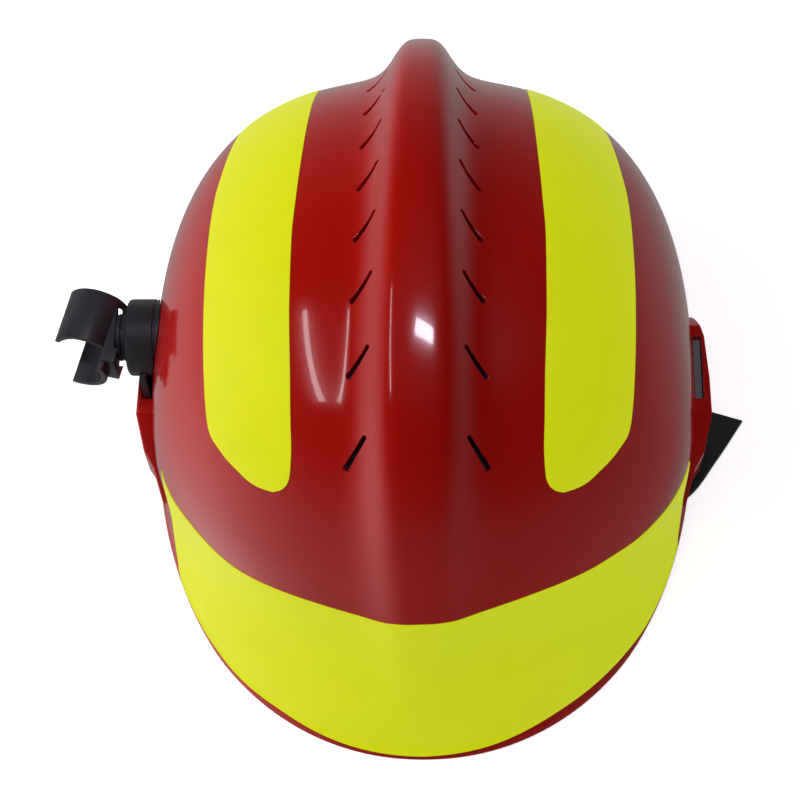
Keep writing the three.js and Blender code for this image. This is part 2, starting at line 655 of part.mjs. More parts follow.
function junction(name, centre, turn, levels) {
  // A flat block with an open slot in each face for the end of a webbing.
  const rearward = dir2(turn);
  const outer = [rearward[1], -rearward[0], 0];
  const height = 2 * WEB + 6 * GAP + 2;
  const base = [centre[0], centre[1], FLOOR];
  let body = solid(place(extrude(rounded(32, 32, 5), height), base, outer, [0, 0, 1]));
  const slots = {};
  for (const [key, [u, v, level]] of Object.entries(levels)) {
    const d = at2([0, 0, 0], [outer, u], [rearward, v]);
    const across = [-d[1], d[0], 0];
    const z = FLOOR + level + WEB / 2;
    const room = box(0, 9, -WEB_HALF - GAP, WEB_HALF + GAP, -WEB / 2 - GAP, WEB / 2 + GAP);
    const at = at2([centre[0], centre[1], z], [d, 10]);
    body = body.subtract(solid(place(room, at, d, [0, 0, 1])));
    slots[key] = { start: at2(at, [d, GAP]), mouth: at2(at, [d, 6]), d, across };
  }
  add(name, geometryOf(body), BLACK);
  return slots;
}

const LOW = 1;
const HIGH = 1 + WEB + 3 * GAP;
const left = junction("strap_junction_left", [79.2, -50], 0.93, {
  tail: [0, 1, LOW], rear: [0, 1, HIGH], front: [1, 0, HIGH], chin: [-1, 0, LOW],
});
const right = junction("strap_junction_right", [-78.5, -50], Math.PI - 0.93, {
  rear: [0, 1, HIGH], front: [-1, 0, HIGH], chin: [1, 0, LOW],
});
const anchors = {
  frontLeft: anchor("front_left", 1, -57, 26),
  rearLeft: anchor("rear_left", 1, 46, 26),
  frontRight: anchor("front_right", -1, -57, 26),
  rearRight: anchor("rear_right", -1, 46, 26),
};

function hangingWeb(name, from, slot, path, steps) {
  // Hangs from a clasp, turns flat along its path, and ends inside a junction's slot.
  const flip = from.along[0] * slot.across[0] + from.along[1] * slot.across[1] < 0 ? -1 : 1;
  const across = slot.across.map((v) => v * flip);
  const points = [
    ...[0, -6, -11, -15].map((d) => at2(from.top, [[0, 0, 1], d])),
    ...path,
    ...[6, 1.5, -2.5].map((d) => at2(slot.mouth, [slot.d, d])),
    slot.start,
  ];
  const hanging = path.length ? 5 : 4;
  const sides = points.map((p, i) => (i < hanging ? from.along : across));
  add(name, ribbon(points, sides, 2 * WEB_HALF, WEB, steps), WEBBING);
}
hangingWeb("webbing_front_left", anchors.frontLeft, left.front, [], 24);
hangingWeb("webbing_rear_left", anchors.rearLeft, left.rear, [[98, 38, 8.4], [93, 22, 6.5]], 34);
hangingWeb("webbing_front_right", anchors.frontRight, right.front, [], 24);
hangingWeb("webbing_rear_right", anchors.rearRight, right.rear, [[-98, 38, 8.4], [-93, 22, 6.5]], 34);

const low = FLOOR + WEB / 2;
const tail = solid(ribbon(
  [left.tail.start, left.tail.mouth, at2(left.tail.mouth, [left.tail.d, 4], [[0, 0, 1], -0.6]),
    [106.6, -28.2, low], [118.6, -12.6, low], [130.9, 6.3, low]],
  [left.tail.across, left.tail.across, left.tail.across, [-0.72, 0.69, 0], [-0.841, 0.541, 0],
    [-0.841, 0.541, 0]],
  2 * WEB_HALF, WEB, 20,
));
const tailCut = place(box(-40, 4, 0, 20, -4, 8), [138.9, 1.2, 0], [0.953, -0.303, 0], [0, 0, 1]);
add("webbing_tail", geometryOf(tail.subtract(solid(tailCut))), WEBBING);

// the two halves of the buckle lie open inside the helmet
const BUCKLE_Y = -30;
const PAD = { x0: 26, x1: 56, w: 34, h: 8 };
add("chin_webbing_left", ribbon(
  [left.chin.start, left.chin.mouth, [59, BUCKLE_Y - 2, 3.9], [51, BUCKLE_Y, 4.4],
    [40, BUCKLE_Y, 4.4], [26, BUCKLE_Y, 4.3], [13, BUCKLE_Y, 4.3]],
  [left.chin.across, left.chin.across, [-0.3, -0.95, 0], [0, -1, 0], [0, -1, 0], [0, -1, 0],
    [0, -1, 0]],
  2 * WEB_HALF, WEB, 26,
), WEBBING);
const padShape = rounded(PAD.x1 - PAD.x0, PAD.w, 9);
let chinPad = solid(place(
  extrude(padShape, PAD.h), [(PAD.x0 + PAD.x1) / 2, BUCKLE_Y - 0.4, FLOOR], [1, 0, 0], [0, 0, 1],
));
chinPad = chinPad.subtract(solid(box(10, 70, BUCKLE_Y - 13.6, BUCKLE_Y + 12, 2, 6.6)));
add("chin_pad", geometryOf(chinPad), LEATHER);

let male = solid(place(
  extrude(rounded(14, 26, 3), 7.8), [11, BUCKLE_Y, FLOOR], [1, 0, 0], [0, 0, 1],
));
male = male.subtract(solid(box(6.5, 30, BUCKLE_Y - 10, BUCKLE_Y + 10, 3.05, 5.55)));
male = male.add(solid(box(-9, 5, BUCKLE_Y - 7, BUCKLE_Y + 7, 2.8, 5.8)));
male = male.subtract(solid(box(-6, -1, BUCKLE_Y - 3.4, BUCKLE_Y + 3.4, 0, 10)));
add("buckle_male", geometryOf(male), BLACK);

let female = solid(place(
  extrude(rounded(34, 27, 4), 10.4), [-34, BUCKLE_Y, FLOOR], [1, 0, 0], [0, 0, 1],
));
const mouth = box(-38, -12, BUCKLE_Y - 7.5, BUCKLE_Y + 7.5, 2.4, 6.2);
const buttonRoom = rod(6.2, 6, [-28, BUCKLE_Y, 6], [0, 0, 1], 24);
const webRoom = box(-56, -42.5, BUCKLE_Y - 10.3, BUCKLE_Y + 10.3, 2.9, 5.7);
for (const cut of [mouth, buttonRoom, webRoom]) female = female.subtract(solid(cut));
const shoulder = solid(turned(
  [[5.3, 0], [6.4, 0], [6.4, 1], [5.3, 1]], [-28, BUCKLE_Y, 9.8], [0, 0, 1], 24,
));
add("buckle_female", geometryOf(female.add(shoulder)), BLACK);
const button = [[0, 0], [5.8, 0], [5.8, 1.1], [4.9, 1.1], [4.9, 3.1], [4.3, 3.8], [0, 3.8]];
add("buckle_button", turned(button, [-28, BUCKLE_Y, 8.3], [0, 0, 1], 24), finish(0x8f1a14, 0.4));

class Coil extends THREE.Curve {
  getPoint(u) {
    const a = u * 3 * 2 * Math.PI;
    return new THREE.Vector3(-28 + 3.6 * Math.cos(a), BUCKLE_Y + 3.6 * Math.sin(a), 3.2 + 4.4 * u);
  }
}
const wire = new THREE.Shape();
wire.absarc(0, 0, 0.35, 0, 2 * Math.PI, false);
const spring = { steps: 48, bevelEnabled: false, extrudePath: new Coil(), curveSegments: 3 };
add("button_spring", new THREE.ExtrudeGeometry(wire, spring), STEEL);

add("chin_webbing_right", ribbon(
  [right.chin.start, right.chin.mouth, [-57, BUCKLE_Y - 2, 4.1], [-50, BUCKLE_Y, 4.3],
    [-46, BUCKLE_Y, 4.3], [-43.5, BUCKLE_Y, 4.3]],
  [right.chin.across, right.chin.across, [-0.3, 0.95, 0], [0, 1, 0], [0, 1, 0], [0, 1, 0]],
  2 * WEB_HALF, WEB, 16,
), WEBBING);

export default helmet;
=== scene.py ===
# Firefighter helmet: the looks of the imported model. Lengths are in millimetres in the helmet's own
# frame (centre plane at x = 0, rim at z = 0) until put() turns them into metres in the row frame.
import math

import bmesh
import bpy
import numpy as np
from mathutils import Matrix, Vector


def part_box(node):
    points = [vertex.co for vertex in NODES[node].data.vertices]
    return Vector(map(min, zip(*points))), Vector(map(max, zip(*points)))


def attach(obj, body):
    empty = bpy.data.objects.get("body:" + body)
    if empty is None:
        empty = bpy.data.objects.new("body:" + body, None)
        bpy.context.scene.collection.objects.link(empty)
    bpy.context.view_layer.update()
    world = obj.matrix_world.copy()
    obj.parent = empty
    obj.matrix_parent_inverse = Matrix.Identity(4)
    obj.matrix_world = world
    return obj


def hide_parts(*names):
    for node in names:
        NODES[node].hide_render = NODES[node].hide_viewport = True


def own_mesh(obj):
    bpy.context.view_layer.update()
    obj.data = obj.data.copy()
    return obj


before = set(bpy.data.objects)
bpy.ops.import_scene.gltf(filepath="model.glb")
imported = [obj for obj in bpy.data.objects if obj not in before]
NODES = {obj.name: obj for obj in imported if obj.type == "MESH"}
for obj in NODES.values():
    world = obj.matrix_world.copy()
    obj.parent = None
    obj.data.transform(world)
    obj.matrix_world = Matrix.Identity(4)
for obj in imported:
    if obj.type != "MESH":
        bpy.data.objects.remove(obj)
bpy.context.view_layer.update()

SHIFT = np.array([6.7, 2.2, 0.0])
MM = 0.001
scene = bpy.context.scene


# ---- camera ----
def make_camera():
    target = Vector((-2, -17, 67.3)) * MM
    tilt, lean = math.radians(65), math.radians(1.8)
    back = Vector((math.tan(lean), -math.cos(tilt), math.sin(tilt))).normalized()
    up = Vector((0, math.sin(tilt), math.cos(tilt)))
    right = up.cross(back).normalized()
    up = back.cross(right)
    data = bpy.data.cameras.new("camera")
    data.sensor_width = 36
    data.lens = 94.1
    data.clip_start = 0.01
    camera = bpy.data.objects.new("camera", data)
    turn = Matrix((right, up, back)).transposed().to_4x4()
    camera.matrix_world = Matrix.Translation(target + back * 0.85) @ turn
    scene.collection.objects.link(camera)
    scene.camera = camera


make_camera()
scene.view_settings.view_transform = "Standard"

# ---- the shell's surface ----
HALF_WIDTH, EAR_Y, EAR_Z, WALL = 114.5, -4.0, 9.0, 3.0
PROFILE = np.array([
    [-153, -4], [-140, 14], [-124, 32], [-110, 51], [-102, 85], [-84, 122], [-45, 143],
    [0, 149], [45, 145], [90, 129], [122, 93], [136, 45], [130, -8]], float)
RIDGE_HEIGHT = np.array([[.08, 0], [.2, 4], [.35, 9], [.6, 14], [.8, 18], [.9, 15], [1, 6]])
RIDGE_HALF_WIDTH = np.array([[.2, 17.5], [.5, 18.3], [.66, 15.6], [.8, 13], [.9, 12.2]])
RIDGE_POWER = np.array([[.2, 3.2], [.32, 3.6], [.5, 7.5], [.66, 6], [.8, 4.2], [.9, 3.5]])
VENT_X = np.array([[.42, 23.4], [.82, 17]])


def smooth(v):
    s = np.clip(v, 0, 1)
    return s * s * (3 - 2 * s)


def between(table, t):
    return np.interp(t, table[:, 0], table[:, 1])


def soft_between(table, t):
    # Like between, with its corners rounded off.
    taps = ((-.05, .15), (-.025, .2), (0, .3), (.025, .2), (.05, .15))
    return sum(w * between(table, t + d) for d, w in taps)


def profile(t):
    n = len(PROFILE) - 1
    p = np.vstack([2 * PROFILE[0] - PROFILE[1], PROFILE, 2 * PROFILE[-1] - PROFILE[-2]])
    s = np.clip(t, 0, 1) * n
    i = np.minimum(np.floor(s).astype(int), n - 1)
    f = s - i
    w = [(1 - f) ** 3 / 6, (3 * f ** 3 - 6 * f ** 2 + 4) / 6,
         (-3 * f ** 3 + 3 * f ** 2 + 3 * f + 1) / 6, f ** 3 / 6]
    y = sum(wk * p[i + k, 0] for k, wk in enumerate(w))
    z = sum(wk * p[i + k, 1] for k, wk in enumerate(w))
    return y, z


def surface(t, x, lift=0.0):
    t, x, lift = np.broadcast_arrays(np.asarray(t, float), np.asarray(x, float), np.asarray(lift, float))
    half = HALF_WIDTH + lift
    y, z = profile(t)
    dy, dz = y - EAR_Y, z - EAR_Z
    length = np.hypot(dy, dz)
    n = 2.08 + 0.6 * smooth((t - 0.1) / 0.5)
    q = np.minimum(np.abs(x) / half, 1)
    k = (1 - q ** n) ** (1 / n)
    width = soft_between(RIDGE_HALF_WIDTH, t) + np.minimum(lift, 0) * 0.6
    height = np.where(lift < -WALL - 0.1, 0, soft_between(RIDGE_HEIGHT, t))
    u = np.abs(x) / width
    power = soft_between(RIDGE_POWER, t)
    ridge = height * (1 - q * q) * (1 - .04 * (power - 3) * u * u) / (1 + u ** power)
    r = (length + lift) * k + ridge
    return np.stack([x, EAR_Y + dy / length * r, EAR_Z + dz / length * r], -1)


def normal(t, x):
    dt = surface(np.minimum(t + .002, 1), x) - surface(np.maximum(t - .002, 0), x)
    dx = surface(t, x + .2) - surface(t, x - .2)
    n = np.cross(dx, dt)
    return n / np.maximum(np.linalg.norm(n, axis=-1, keepdims=True), 1e-9)


def above(t, x, lift):
    lift = np.asarray(lift, float)
    return surface(t, x) + normal(t, x) * lift[..., None]


T_TABLE = np.linspace(0, 1, 2001)
Y_TABLE, Z_TABLE = profile(T_TABLE)
HEADINGS = np.unwrap(np.arctan2(Z_TABLE - EAR_Z, -(Y_TABLE - EAR_Y)))


def t_of(y, z):
    # Where a point's heading from the ear axis falls on the centre-plane outline.
    heading = np.arctan2(z - EAR_Z, -(y - EAR_Y))
    heading = np.where(heading < -1.5, heading + 2 * np.pi, heading)
    return np.interp(heading, HEADINGS, T_TABLE)


def project(p, lift=0.0):
    p = np.asarray(p, float)
    return surface(t_of(p[..., 1], p[..., 2]), p[..., 0], lift)


def wall_at(y, z, lift):
    # How far the shell's wall is from the centre plane at a height and distance from the front.
    t, reach = t_of(y, z), math.hypot(y - EAR_Y, z - EAR_Z)
    xs = np.linspace(0, HALF_WIDTH + lift, 4000)
    p = surface(t, xs, lift)
    far = np.hypot(p[:, 1] - EAR_Y, p[:, 2] - EAR_Z) > reach
    return xs[far].max()


ARC_T = np.linspace(0, 1, 401)
ARC = np.r_[0, np.cumsum(np.linalg.norm(np.diff(surface(ARC_T, 0.0), axis=0), axis=1))]


def along(distance):
    return np.interp(distance, ARC, ARC_T)


# ---- meshes ----
def put(points):
    return (np.asarray(points, float).reshape(-1, 3) + SHIFT) * MM


def make(name, points, faces, angle=35, material=None):
    mesh = bpy.data.meshes.new(name)
    mesh.from_pydata(put(points).tolist(), [], [tuple(map(int, f)) for f in faces])
    mesh.validate()
    obj = bpy.data.objects.new(name, mesh)
    scene.collection.objects.link(obj)
    b = bmesh.new()
    b.from_mesh(mesh)
    bmesh.ops.remove_doubles(b, verts=b.verts, dist=1e-6)
    bmesh.ops.recalc_face_normals(b, faces=b.faces)
    b.to_mesh(mesh)
    b.free()
    mesh.shade_smooth()
    mesh.set_sharp_from_angle(angle=math.radians(angle))
    if material:
        mesh.materials.append(material)
    return obj


def apply(obj):
    # Bakes the modifiers into the mesh.
    bpy.context.view_layer.update()
    done = bpy.data.meshes.new_from_object(obj.evaluated_get(bpy.context.evaluated_depsgraph_get()))
    done.name = obj.data.name
    obj.modifiers.clear()
    obj.data = done
    return obj


def boolean(obj, other, kind="DIFFERENCE"):
    mod = obj.modifiers.new("boolean", "BOOLEAN")
    mod.object, mod.operation, mod.solver = other, kind, "MANIFOLD"
    apply(obj)
    bpy.data.objects.remove(other)
    return obj


def bevel(obj, width, segments=3, angle=30):
    mod = obj.modifiers.new("bevel", "BEVEL")
    mod.width, mod.segments, mod.limit_method = width * MM, segments, "ANGLE"
    mod.angle_limit = math.radians(angle)
    return obj


def resmooth(obj, angle=35):
    obj.data.shade_smooth()
    obj.data.set_sharp_from_angle(angle=math.radians(angle))
    return obj


def paint(obj, *materials):
    obj.data.materials.clear()
    for material in materials:
        obj.data.materials.append(material)


def grid_faces(rows, cols, closed_rows=False, closed_cols=False, start=0):
    faces = []
    for j in range(rows if closed_rows else rows - 1):
        for i in range(cols if closed_cols else cols - 1):
            a, b = start + j * cols + i, start + j * cols + (i + 1) % cols
            c, d = start + ((j + 1) % rows) * cols + (i + 1) % cols, start + ((j + 1) % rows) * cols + i
            faces.append((a, b, c, d))
    return faces


def closed_sheet(inner, outer):
    # Two grids of the same size and the strip round their edges.
    rows, cols = inner.shape[:2]
    n = rows * cols
    faces = [f[::-1] for f in grid_faces(rows, cols)] + grid_faces(rows, cols, start=n)
    rim = list(range(cols)) + [j * cols + cols - 1 for j in range(1, rows)]
    rim += [(rows - 1) * cols + i for i in range(cols - 2, -1, -1)] + [j * cols for j in range(rows - 2, 0, -1)]
    for a, b in zip(rim, rim[1:] + rim[:1]):
        faces.append((a, b, b + n, a + n))
    return np.vstack([inner.reshape(-1, 3), outer.reshape(-1, 3)]), faces


# A prism's (origin, x, y, z) when its outline is seen from above, and when it is seen from the side.
PLAN = ((0, 0, 0), (1, 0, 0), (0, 1, 0), (0, 0, 1))
SIDE = ((0, 0, 0), (0, 1, 0), (0, 0, 1), (1, 0, 0))


def prism(outline, low, high, basis):
    # A closed outline in a plane, drawn out from low to high; basis is (origin, x, y, z).
    o, ex, ey, ez = (np.array(v, float) for v in basis)
    outline = np.array(outline, float)
    ring = o + outline[:, :1] * ex + outline[:, 1:] * ey
    n = len(outline)
    points = np.vstack([ring + ez * low, ring + ez * high])
    faces = [tuple(range(n))[::-1], tuple(range(n, 2 * n))]
    faces += [(i, (i + 1) % n, n + (i + 1) % n, n + i) for i in range(n)]
    return points, faces


def rounded_outline(w, h, r, steps=6):
    pts = []
    x, y = w / 2 - r, h / 2 - r
    for cx, cy, a0 in ((x, y, 0), (-x, y, 90), (-x, -y, 180), (x, -y, 270)):
        for k in range(steps + 1):
            a = math.radians(a0 + 90 * k / steps)
            pts.append((cx + r * math.cos(a), cy + r * math.sin(a)))
    return pts


def circle(r, n):
    return [(r * math.cos(a), r * math.sin(a)) for a in np.linspace(0, 2 * math.pi, n, endpoint=False)]


def turned(profile_points, at, axis, sides=64):
    # A closed profile of [radius, height] turned about an axis.
    at, axis = np.array(at, float), np.array(axis, float)
    side = np.array([1.0, 0, 0]) if abs(axis[2]) > .9 else np.array([0, 0, 1.0])
    other = np.cross(axis, side)
    rings = []
    for k in range(sides):
        a = 2 * math.pi * k / sides
        d = side * math.cos(a) + other * math.sin(a)
        rings.append([at + axis * h + d * r for r, h in profile_points])
    return np.array(rings).reshape(-1, 3), grid_faces(sides, len(profile_points), True, True)


def spline(points, steps):
    # A smooth path through the points, evenly spaced.
    p = np.array(points, float)
    p = np.vstack([2 * p[0] - p[1], p, 2 * p[-1] - p[-2]])
    out = []
    for i in range(1, len(p) - 2):
        gaps = [max(np.linalg.norm(p[k + 1] - p[k]) ** .5, 1e-4) for k in (i - 1, i, i + 1)]
        a, b, c, d = p[i - 1:i + 3]
        m1 = (b - a) / gaps[0] - (c - a) / (gaps[0] + gaps[1]) + (c - b) / gaps[1]
        m2 = (c - b) / gaps[1] - (d - b) / (gaps[1] + gaps[2]) + (d - c) / gaps[2]
        m1, m2 = m1 * gaps[1], m2 * gaps[1]
        for u in np.linspace(0, 1, 24, endpoint=False):
            h = [2 * u ** 3 - 3 * u ** 2 + 1, u ** 3 - 2 * u ** 2 + u,
                 -2 * u ** 3 + 3 * u ** 2, u ** 3 - u ** 2]
            out.append(h[0] * p[i] + h[1] * m1 + h[2] * p[i + 1] + h[3] * m2)
    out.append(p[-2])
    out = np.array(out)
    s = np.r_[0, np.cumsum(np.linalg.norm(np.diff(out, axis=0), axis=1))]
    want = np.linspace(0, s[-1], steps)
    return np.stack([np.interp(want, s, out[:, a]) for a in range(3)], -1), s[-1]


def section(w, h, r, steps=3):
    return np.array(rounded_outline(w, h, min(r, w / 2 - .01, h / 2 - .01), steps))


def strap(name, path, sides, width, thick, round_, material, close_ends=True, angle=50):
    # A flat strap along a path; sides give the direction its width runs in at each point.
    path, sides = np.asarray(path, float), np.asarray(sides, float)
    tangent = np.gradient(path, axis=0)
    tangent /= np.linalg.norm(tangent, axis=1, keepdims=True)
    sides = sides - (sides * tangent).sum(1, keepdims=True) * tangent
    sides /= np.linalg.norm(sides, axis=1, keepdims=True)
    ups = np.cross(sides, tangent)
    cut = section(width, thick, round_)
    n = len(cut)
    points = path[:, None] + sides[:, None] * cut[None, :, :1] + ups[:, None] * cut[None, :, 1:]
    points = points.reshape(-1, 3)
    faces = grid_faces(len(path), n, False, True)
    if close_ends:
        faces += [tuple(range(n))[::-1], tuple((len(path) - 1) * n + k for k in range(n))]
    obj = make(name, points, faces, angle, material)
    lengths = np.r_[0, np.cumsum(np.linalg.norm(np.diff(path, axis=0), axis=1))]
    # the weave follows the strap: u across it and v along it, in millimetres
    uv = obj.data.uv_layers.new(name="strap")
    co = np.array([v.co for v in obj.data.vertices]) / MM - SHIFT
    near = np.array([np.argmin(((path - c) ** 2).sum(1)) for c in co])
    u = ((co - path[near]) * sides[near]).sum(1)
    v = lengths[near] + ((co - path[near]) * tangent[near]).sum(1)
    for loop in obj.data.loops:
        uv.data[loop.index].uv = (u[loop.vertex_index], v[loop.vertex_index])
    return obj


def ride(obj, body, *nodes, slot=None):
    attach(obj, body)
    if nodes:
        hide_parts(*nodes)
    return obj


# ---- materials ----
class Look:
    """A Principled material whose colour, roughness and bump come from procedural nodes."""

    def __init__(self, name, **values):
        self.material = bpy.data.materials.new(name)
        self.material.use_nodes = True
        self.tree = self.material.node_tree
        self.tree.nodes.clear()
        out = self.tree.nodes.new("ShaderNodeOutputMaterial")
        self.shader = self.tree.nodes.new("ShaderNodeBsdfPrincipled")
        self.tree.links.new(self.shader.outputs[0], out.inputs[0])
        for key, value in values.items():
            self.shader.inputs[key.replace("_", " ")].default_value = value
        self.where = self.node("ShaderNodeTexCoord").outputs["Object"]
        self.bumps = None

    def node(self, kind, **settings):
        n = self.tree.nodes.new(kind)
        for key, value in settings.items():
            setattr(n, key, value)
        return n

    def link(self, a, b):
        self.tree.links.new(a, b)
        return b

    def stretch(self, scale, where=None):
        m = self.node("ShaderNodeMapping")
        m.inputs["Scale"].default_value = scale
        self.link(where or self.where, m.inputs["Vector"])
        return m.outputs[0]

    def noise(self, scale, detail=3.0, rough=.55, where=None):
        n = self.node("ShaderNodeTexNoise")
        n.inputs["Scale"].default_value = scale
        n.inputs["Detail"].default_value = detail
        n.inputs["Roughness"].default_value = rough
        self.link(where or self.where, n.inputs["Vector"])
        return n.outputs["Fac"]

    def cells(self, scale, feature="F1", where=None, output="Distance"):
        n = self.node("ShaderNodeTexVoronoi", feature=feature)
        n.inputs["Scale"].default_value = scale
        self.link(where or self.where, n.inputs["Vector"])
        return n.outputs[output]

    def waves(self, scale, direction, where, profile="SIN"):
        n = self.node("ShaderNodeTexWave", bands_direction=direction, wave_profile=profile)
        n.inputs["Scale"].default_value = scale
        self.link(where, n.inputs["Vector"])
        return n.outputs["Fac"]

    def range(self, value, low, high, out_low, out_high):
        n = self.node("ShaderNodeMapRange")
        for key, v in zip(("From Min", "From Max", "To Min", "To Max"), (low, high, out_low, out_high)):
            n.inputs[key].default_value = v
        self.link(value, n.inputs["Value"])
        return n.outputs[0]

    def math(self, operation, a, b):
        n = self.node("ShaderNodeMath", operation=operation)
        for socket, v in ((n.inputs[0], a), (n.inputs[1], b)):
            if isinstance(v, (int, float)):
                socket.default_value = v
            else:
                self.link(v, socket)
        return n.outputs[0]

    def mix(self, factor, a, b, blend="MIX"):
        n = self.node("ShaderNodeMix", data_type="RGBA", blend_type=blend)
        for socket, v in ((n.inputs[0], factor), (n.inputs[6], a), (n.inputs[7], b)):
            if isinstance(v, (int, float)):
                socket.default_value = v
            elif isinstance(v, tuple):
                socket.default_value = (*v, 1)
            else:
                self.link(v, socket)
        return n.outputs[2]

    def shades(self, noise, a, b):
        return self.mix(self.range(noise, .3, .7, 0, 1), a, b)

    def worn_edges(self, low=.52, high=.6):
        geometry = self.node("ShaderNodeNewGeometry")
        return self.range(geometry.outputs["Pointiness"], low, high, 0, 1)

    def colour(self, value):
        self.link(value, self.shader.inputs["Base Color"])
        return self

    def roughness(self, value, low=0.0, high=1.0, source=(.3, .7)):
        self.link(self.range(value, source[0], source[1], low, high), self.shader.inputs["Roughness"])
        return self

    def bump(self, height, strength, distance):
        n = self.node("ShaderNodeBump")
        n.inputs["Strength"].default_value = strength
        n.inputs["Distance"].default_value = distance * MM
        self.link(height, n.inputs["Height"])
        if self.bumps is not None:
            self.link(self.bumps, n.inputs["Normal"])
        self.bumps = n.outputs[0]
        self.link(self.bumps, self.shader.inputs["Normal"])
        return self


def red_paint():
    look = Look("red_paint", Coat_Weight=.5, Coat_Roughness=.02, Specular_IOR_Level=.4)
    shade = look.noise(9, 2)
    look.colour(look.shades(shade, (.335, .0042, .0018), (.39, .0058, .0026)))
    hair = look.noise(60, 4, .6, look.stretch((5, 60, 60)))
    look.roughness(hair, .12, .2)
    look.bump(look.noise(420, 1), .03, .04)
    look.bump(look.noise(34, 2), .06, .5)
    return look.material


def red_inside():
    look = Look("red_inside", Specular_IOR_Level=.35)
    shade = look.noise(30, 4)
    look.colour(look.shades(shade, (.24, .004, .002), (.3, .007, .004)))
    look.roughness(shade, .38, .5)
    look.bump(look.noise(700, 3), .25, .08)
    return look.material


def yellow_film_painted_glow():
    # The emission is a painted glow: the film shines a fluorescent yellow of its own, also where little light
    # falls on it.
    look = Look("yellow_film_painted_glow", Specular_IOR_Level=.25, Emission_Strength=1.0,
                Emission_Color=(.38, .47, .003, 1))
    blotch = look.noise(55, 4)
    base = look.mix(look.range(blotch, .35, .65, 0, 1), (.31, .25, .002), (.335, .275, .003))
    cells = look.cells(620, "DISTANCE_TO_EDGE")
    base = look.mix(look.range(cells, 0, .06, .06, 0), base, (.26, .21, .003))
    look.colour(base)
    look.roughness(blotch, .34, .42)
    look.bump(cells, .05, .05)
    return look.material


def black_plastic(name="black_plastic", colour=(.0105, .0098, .0125), rough=(.36, .5)):
    look = Look(name, Specular_IOR_Level=.45)
    shade = look.noise(120, 3)
    light = tuple(c * 1.45 + .002 for c in colour)
    base = look.shades(shade, colour, tuple(c * 1.2 for c in colour))
    look.colour(look.mix(look.worn_edges(), base, tuple(c * 1.5 for c in light)))
    look.roughness(shade, *rough)
    look.bump(look.noise(2600, 2), .22, .06)
    look.bump(look.cells(900), .12, .05)
    return look.material


def steel():
    look = Look("steel", Metallic=1.0)
    grain = look.noise(300, 3, .6, look.stretch((1, 1, 18)))
    look.colour(look.mix(grain, (.42, .43, .45), (.62, .63, .65)))
    look.roughness(grain, .22, .38)
    look.bump(grain, .1, .03)
    return look.material


def webbing(name, colour, rib=.85):
    # Ribs run along the strap, and picks cross them; a finer twill shows on the face.
    look = Look(name, Specular_IOR_Level=.2, Sheen_Weight=.35, Sheen_Roughness=.5)
    where = look.node("ShaderNodeUVMap", uv_map="strap").outputs[0]
    across = look.waves(1 / rib, "X", where)
    picks = look.waves(1 / 1.1, "Y", where)
    twill = look.waves(.62, "DIAGONAL", where)
    weave = look.math("MULTIPLY", across, look.math("ADD", look.math("MULTIPLY", picks, .6), .4))
    weave = look.math("ADD", weave, look.math("MULTIPLY", twill, .35))
    lint = look.noise(260, 4)
    dark, light = (tuple(c * k for c in colour) for k in (.55, 1.35))
    base = look.mix(look.range(weave, 0, 1.2, 0, 1), dark, light)
    look.colour(look.mix(look.range(lint, .58, .75, 0, .35), base, tuple(c * 2.2 for c in colour)))
    look.roughness(lint, .75, .95)
    look.bump(weave, .7, .28)
    return look.material


def leather():
    look = Look("leather", Specular_IOR_Level=.4)
    grain = look.cells(620, "SMOOTH_F1")
    crease = look.cells(210, "DISTANCE_TO_EDGE", look.stretch((1, 1, 1.7)))
    shade = look.noise(45, 4)
    base = look.shades(shade, (.022, .016, .013), (.042, .03, .024))
    look.colour(look.mix(look.range(crease, 0, .05, .5, 0), base, (.012, .009, .008)))
    look.roughness(grain, .45, .62, (0, 1))
    look.bump(grain, .35, .12)
    look.bump(look.range(crease, 0, .06, 0, 1), .25, .12)
    return look.material


def foam():
    look = Look("foam", Specular_IOR_Level=.2)
    beads = look.cells(330, "DISTANCE_TO_EDGE")
    shade = look.noise(70, 4)
    base = look.shades(shade, (.035, .037, .042), (.052, .055, .061))
    look.colour(look.mix(look.range(beads, 0, .08, .75, 0), base, (.016, .017, .02)))
    look.roughness(shade, .82, .95)
    look.bump(look.range(beads, 0, .12, 0, 1), .4, .25)
    look.bump(look.noise(1800, 2), .25, .05)
    return look.material


def thread():
    look = Look("thread", Specular_IOR_Level=.25, Sheen_Weight=.2)
    twist = look.waves(700, "DIAGONAL", look.where)
    look.colour(look.mix(twist, (.1, .1, .11), (.19, .19, .2)))
    look.roughness(twist, .6, .8)
    look.bump(twist, .4, .05)
    return look.material


def floor_look():
    look = Look("floor", Specular_IOR_Level=.1, Emission_Strength=.6, Emission_Color=(1, 1, 1, 1))
    shade = look.noise(6, 3)
    look.colour(look.shades(shade, (.93, .93, .935), (.95, .95, .95)))
    look.roughness(shade, .85, .95)
    return look.material


RED, INSIDE, YELLOW = red_paint(), red_inside(), yellow_film_painted_glow()
BLACK = black_plastic()
GREY = black_plastic("grey_plastic", (.055, .057, .062), (.42, .55))
BUTTON = black_plastic("button_red", (.26, .012, .01), (.25, .36))
STEEL, LEATHER, FOAM, THREAD = steel(), leather(), foam(), thread()
WEBBING = webbing("webbing_black", (.016, .016, .018))
CROWN_WEB = webbing("webbing_crown", (.028, .029, .033), 1.1)


# ---- shell ----
EDGE = np.array([0, .2, .5, .85, 1.3, 2, 3, 4, 5.2, 6.6])
FINE_X, COLUMN_POWER = 36, 1.15
VENTS, VENT_START, VENT_SIDES = 8, 165, 28


def lip(near):
    # How far the rim's rolled edge stands out, by the distance from the rim.
    return .7 * (1 - smooth((near - 3.2) / 2.2))


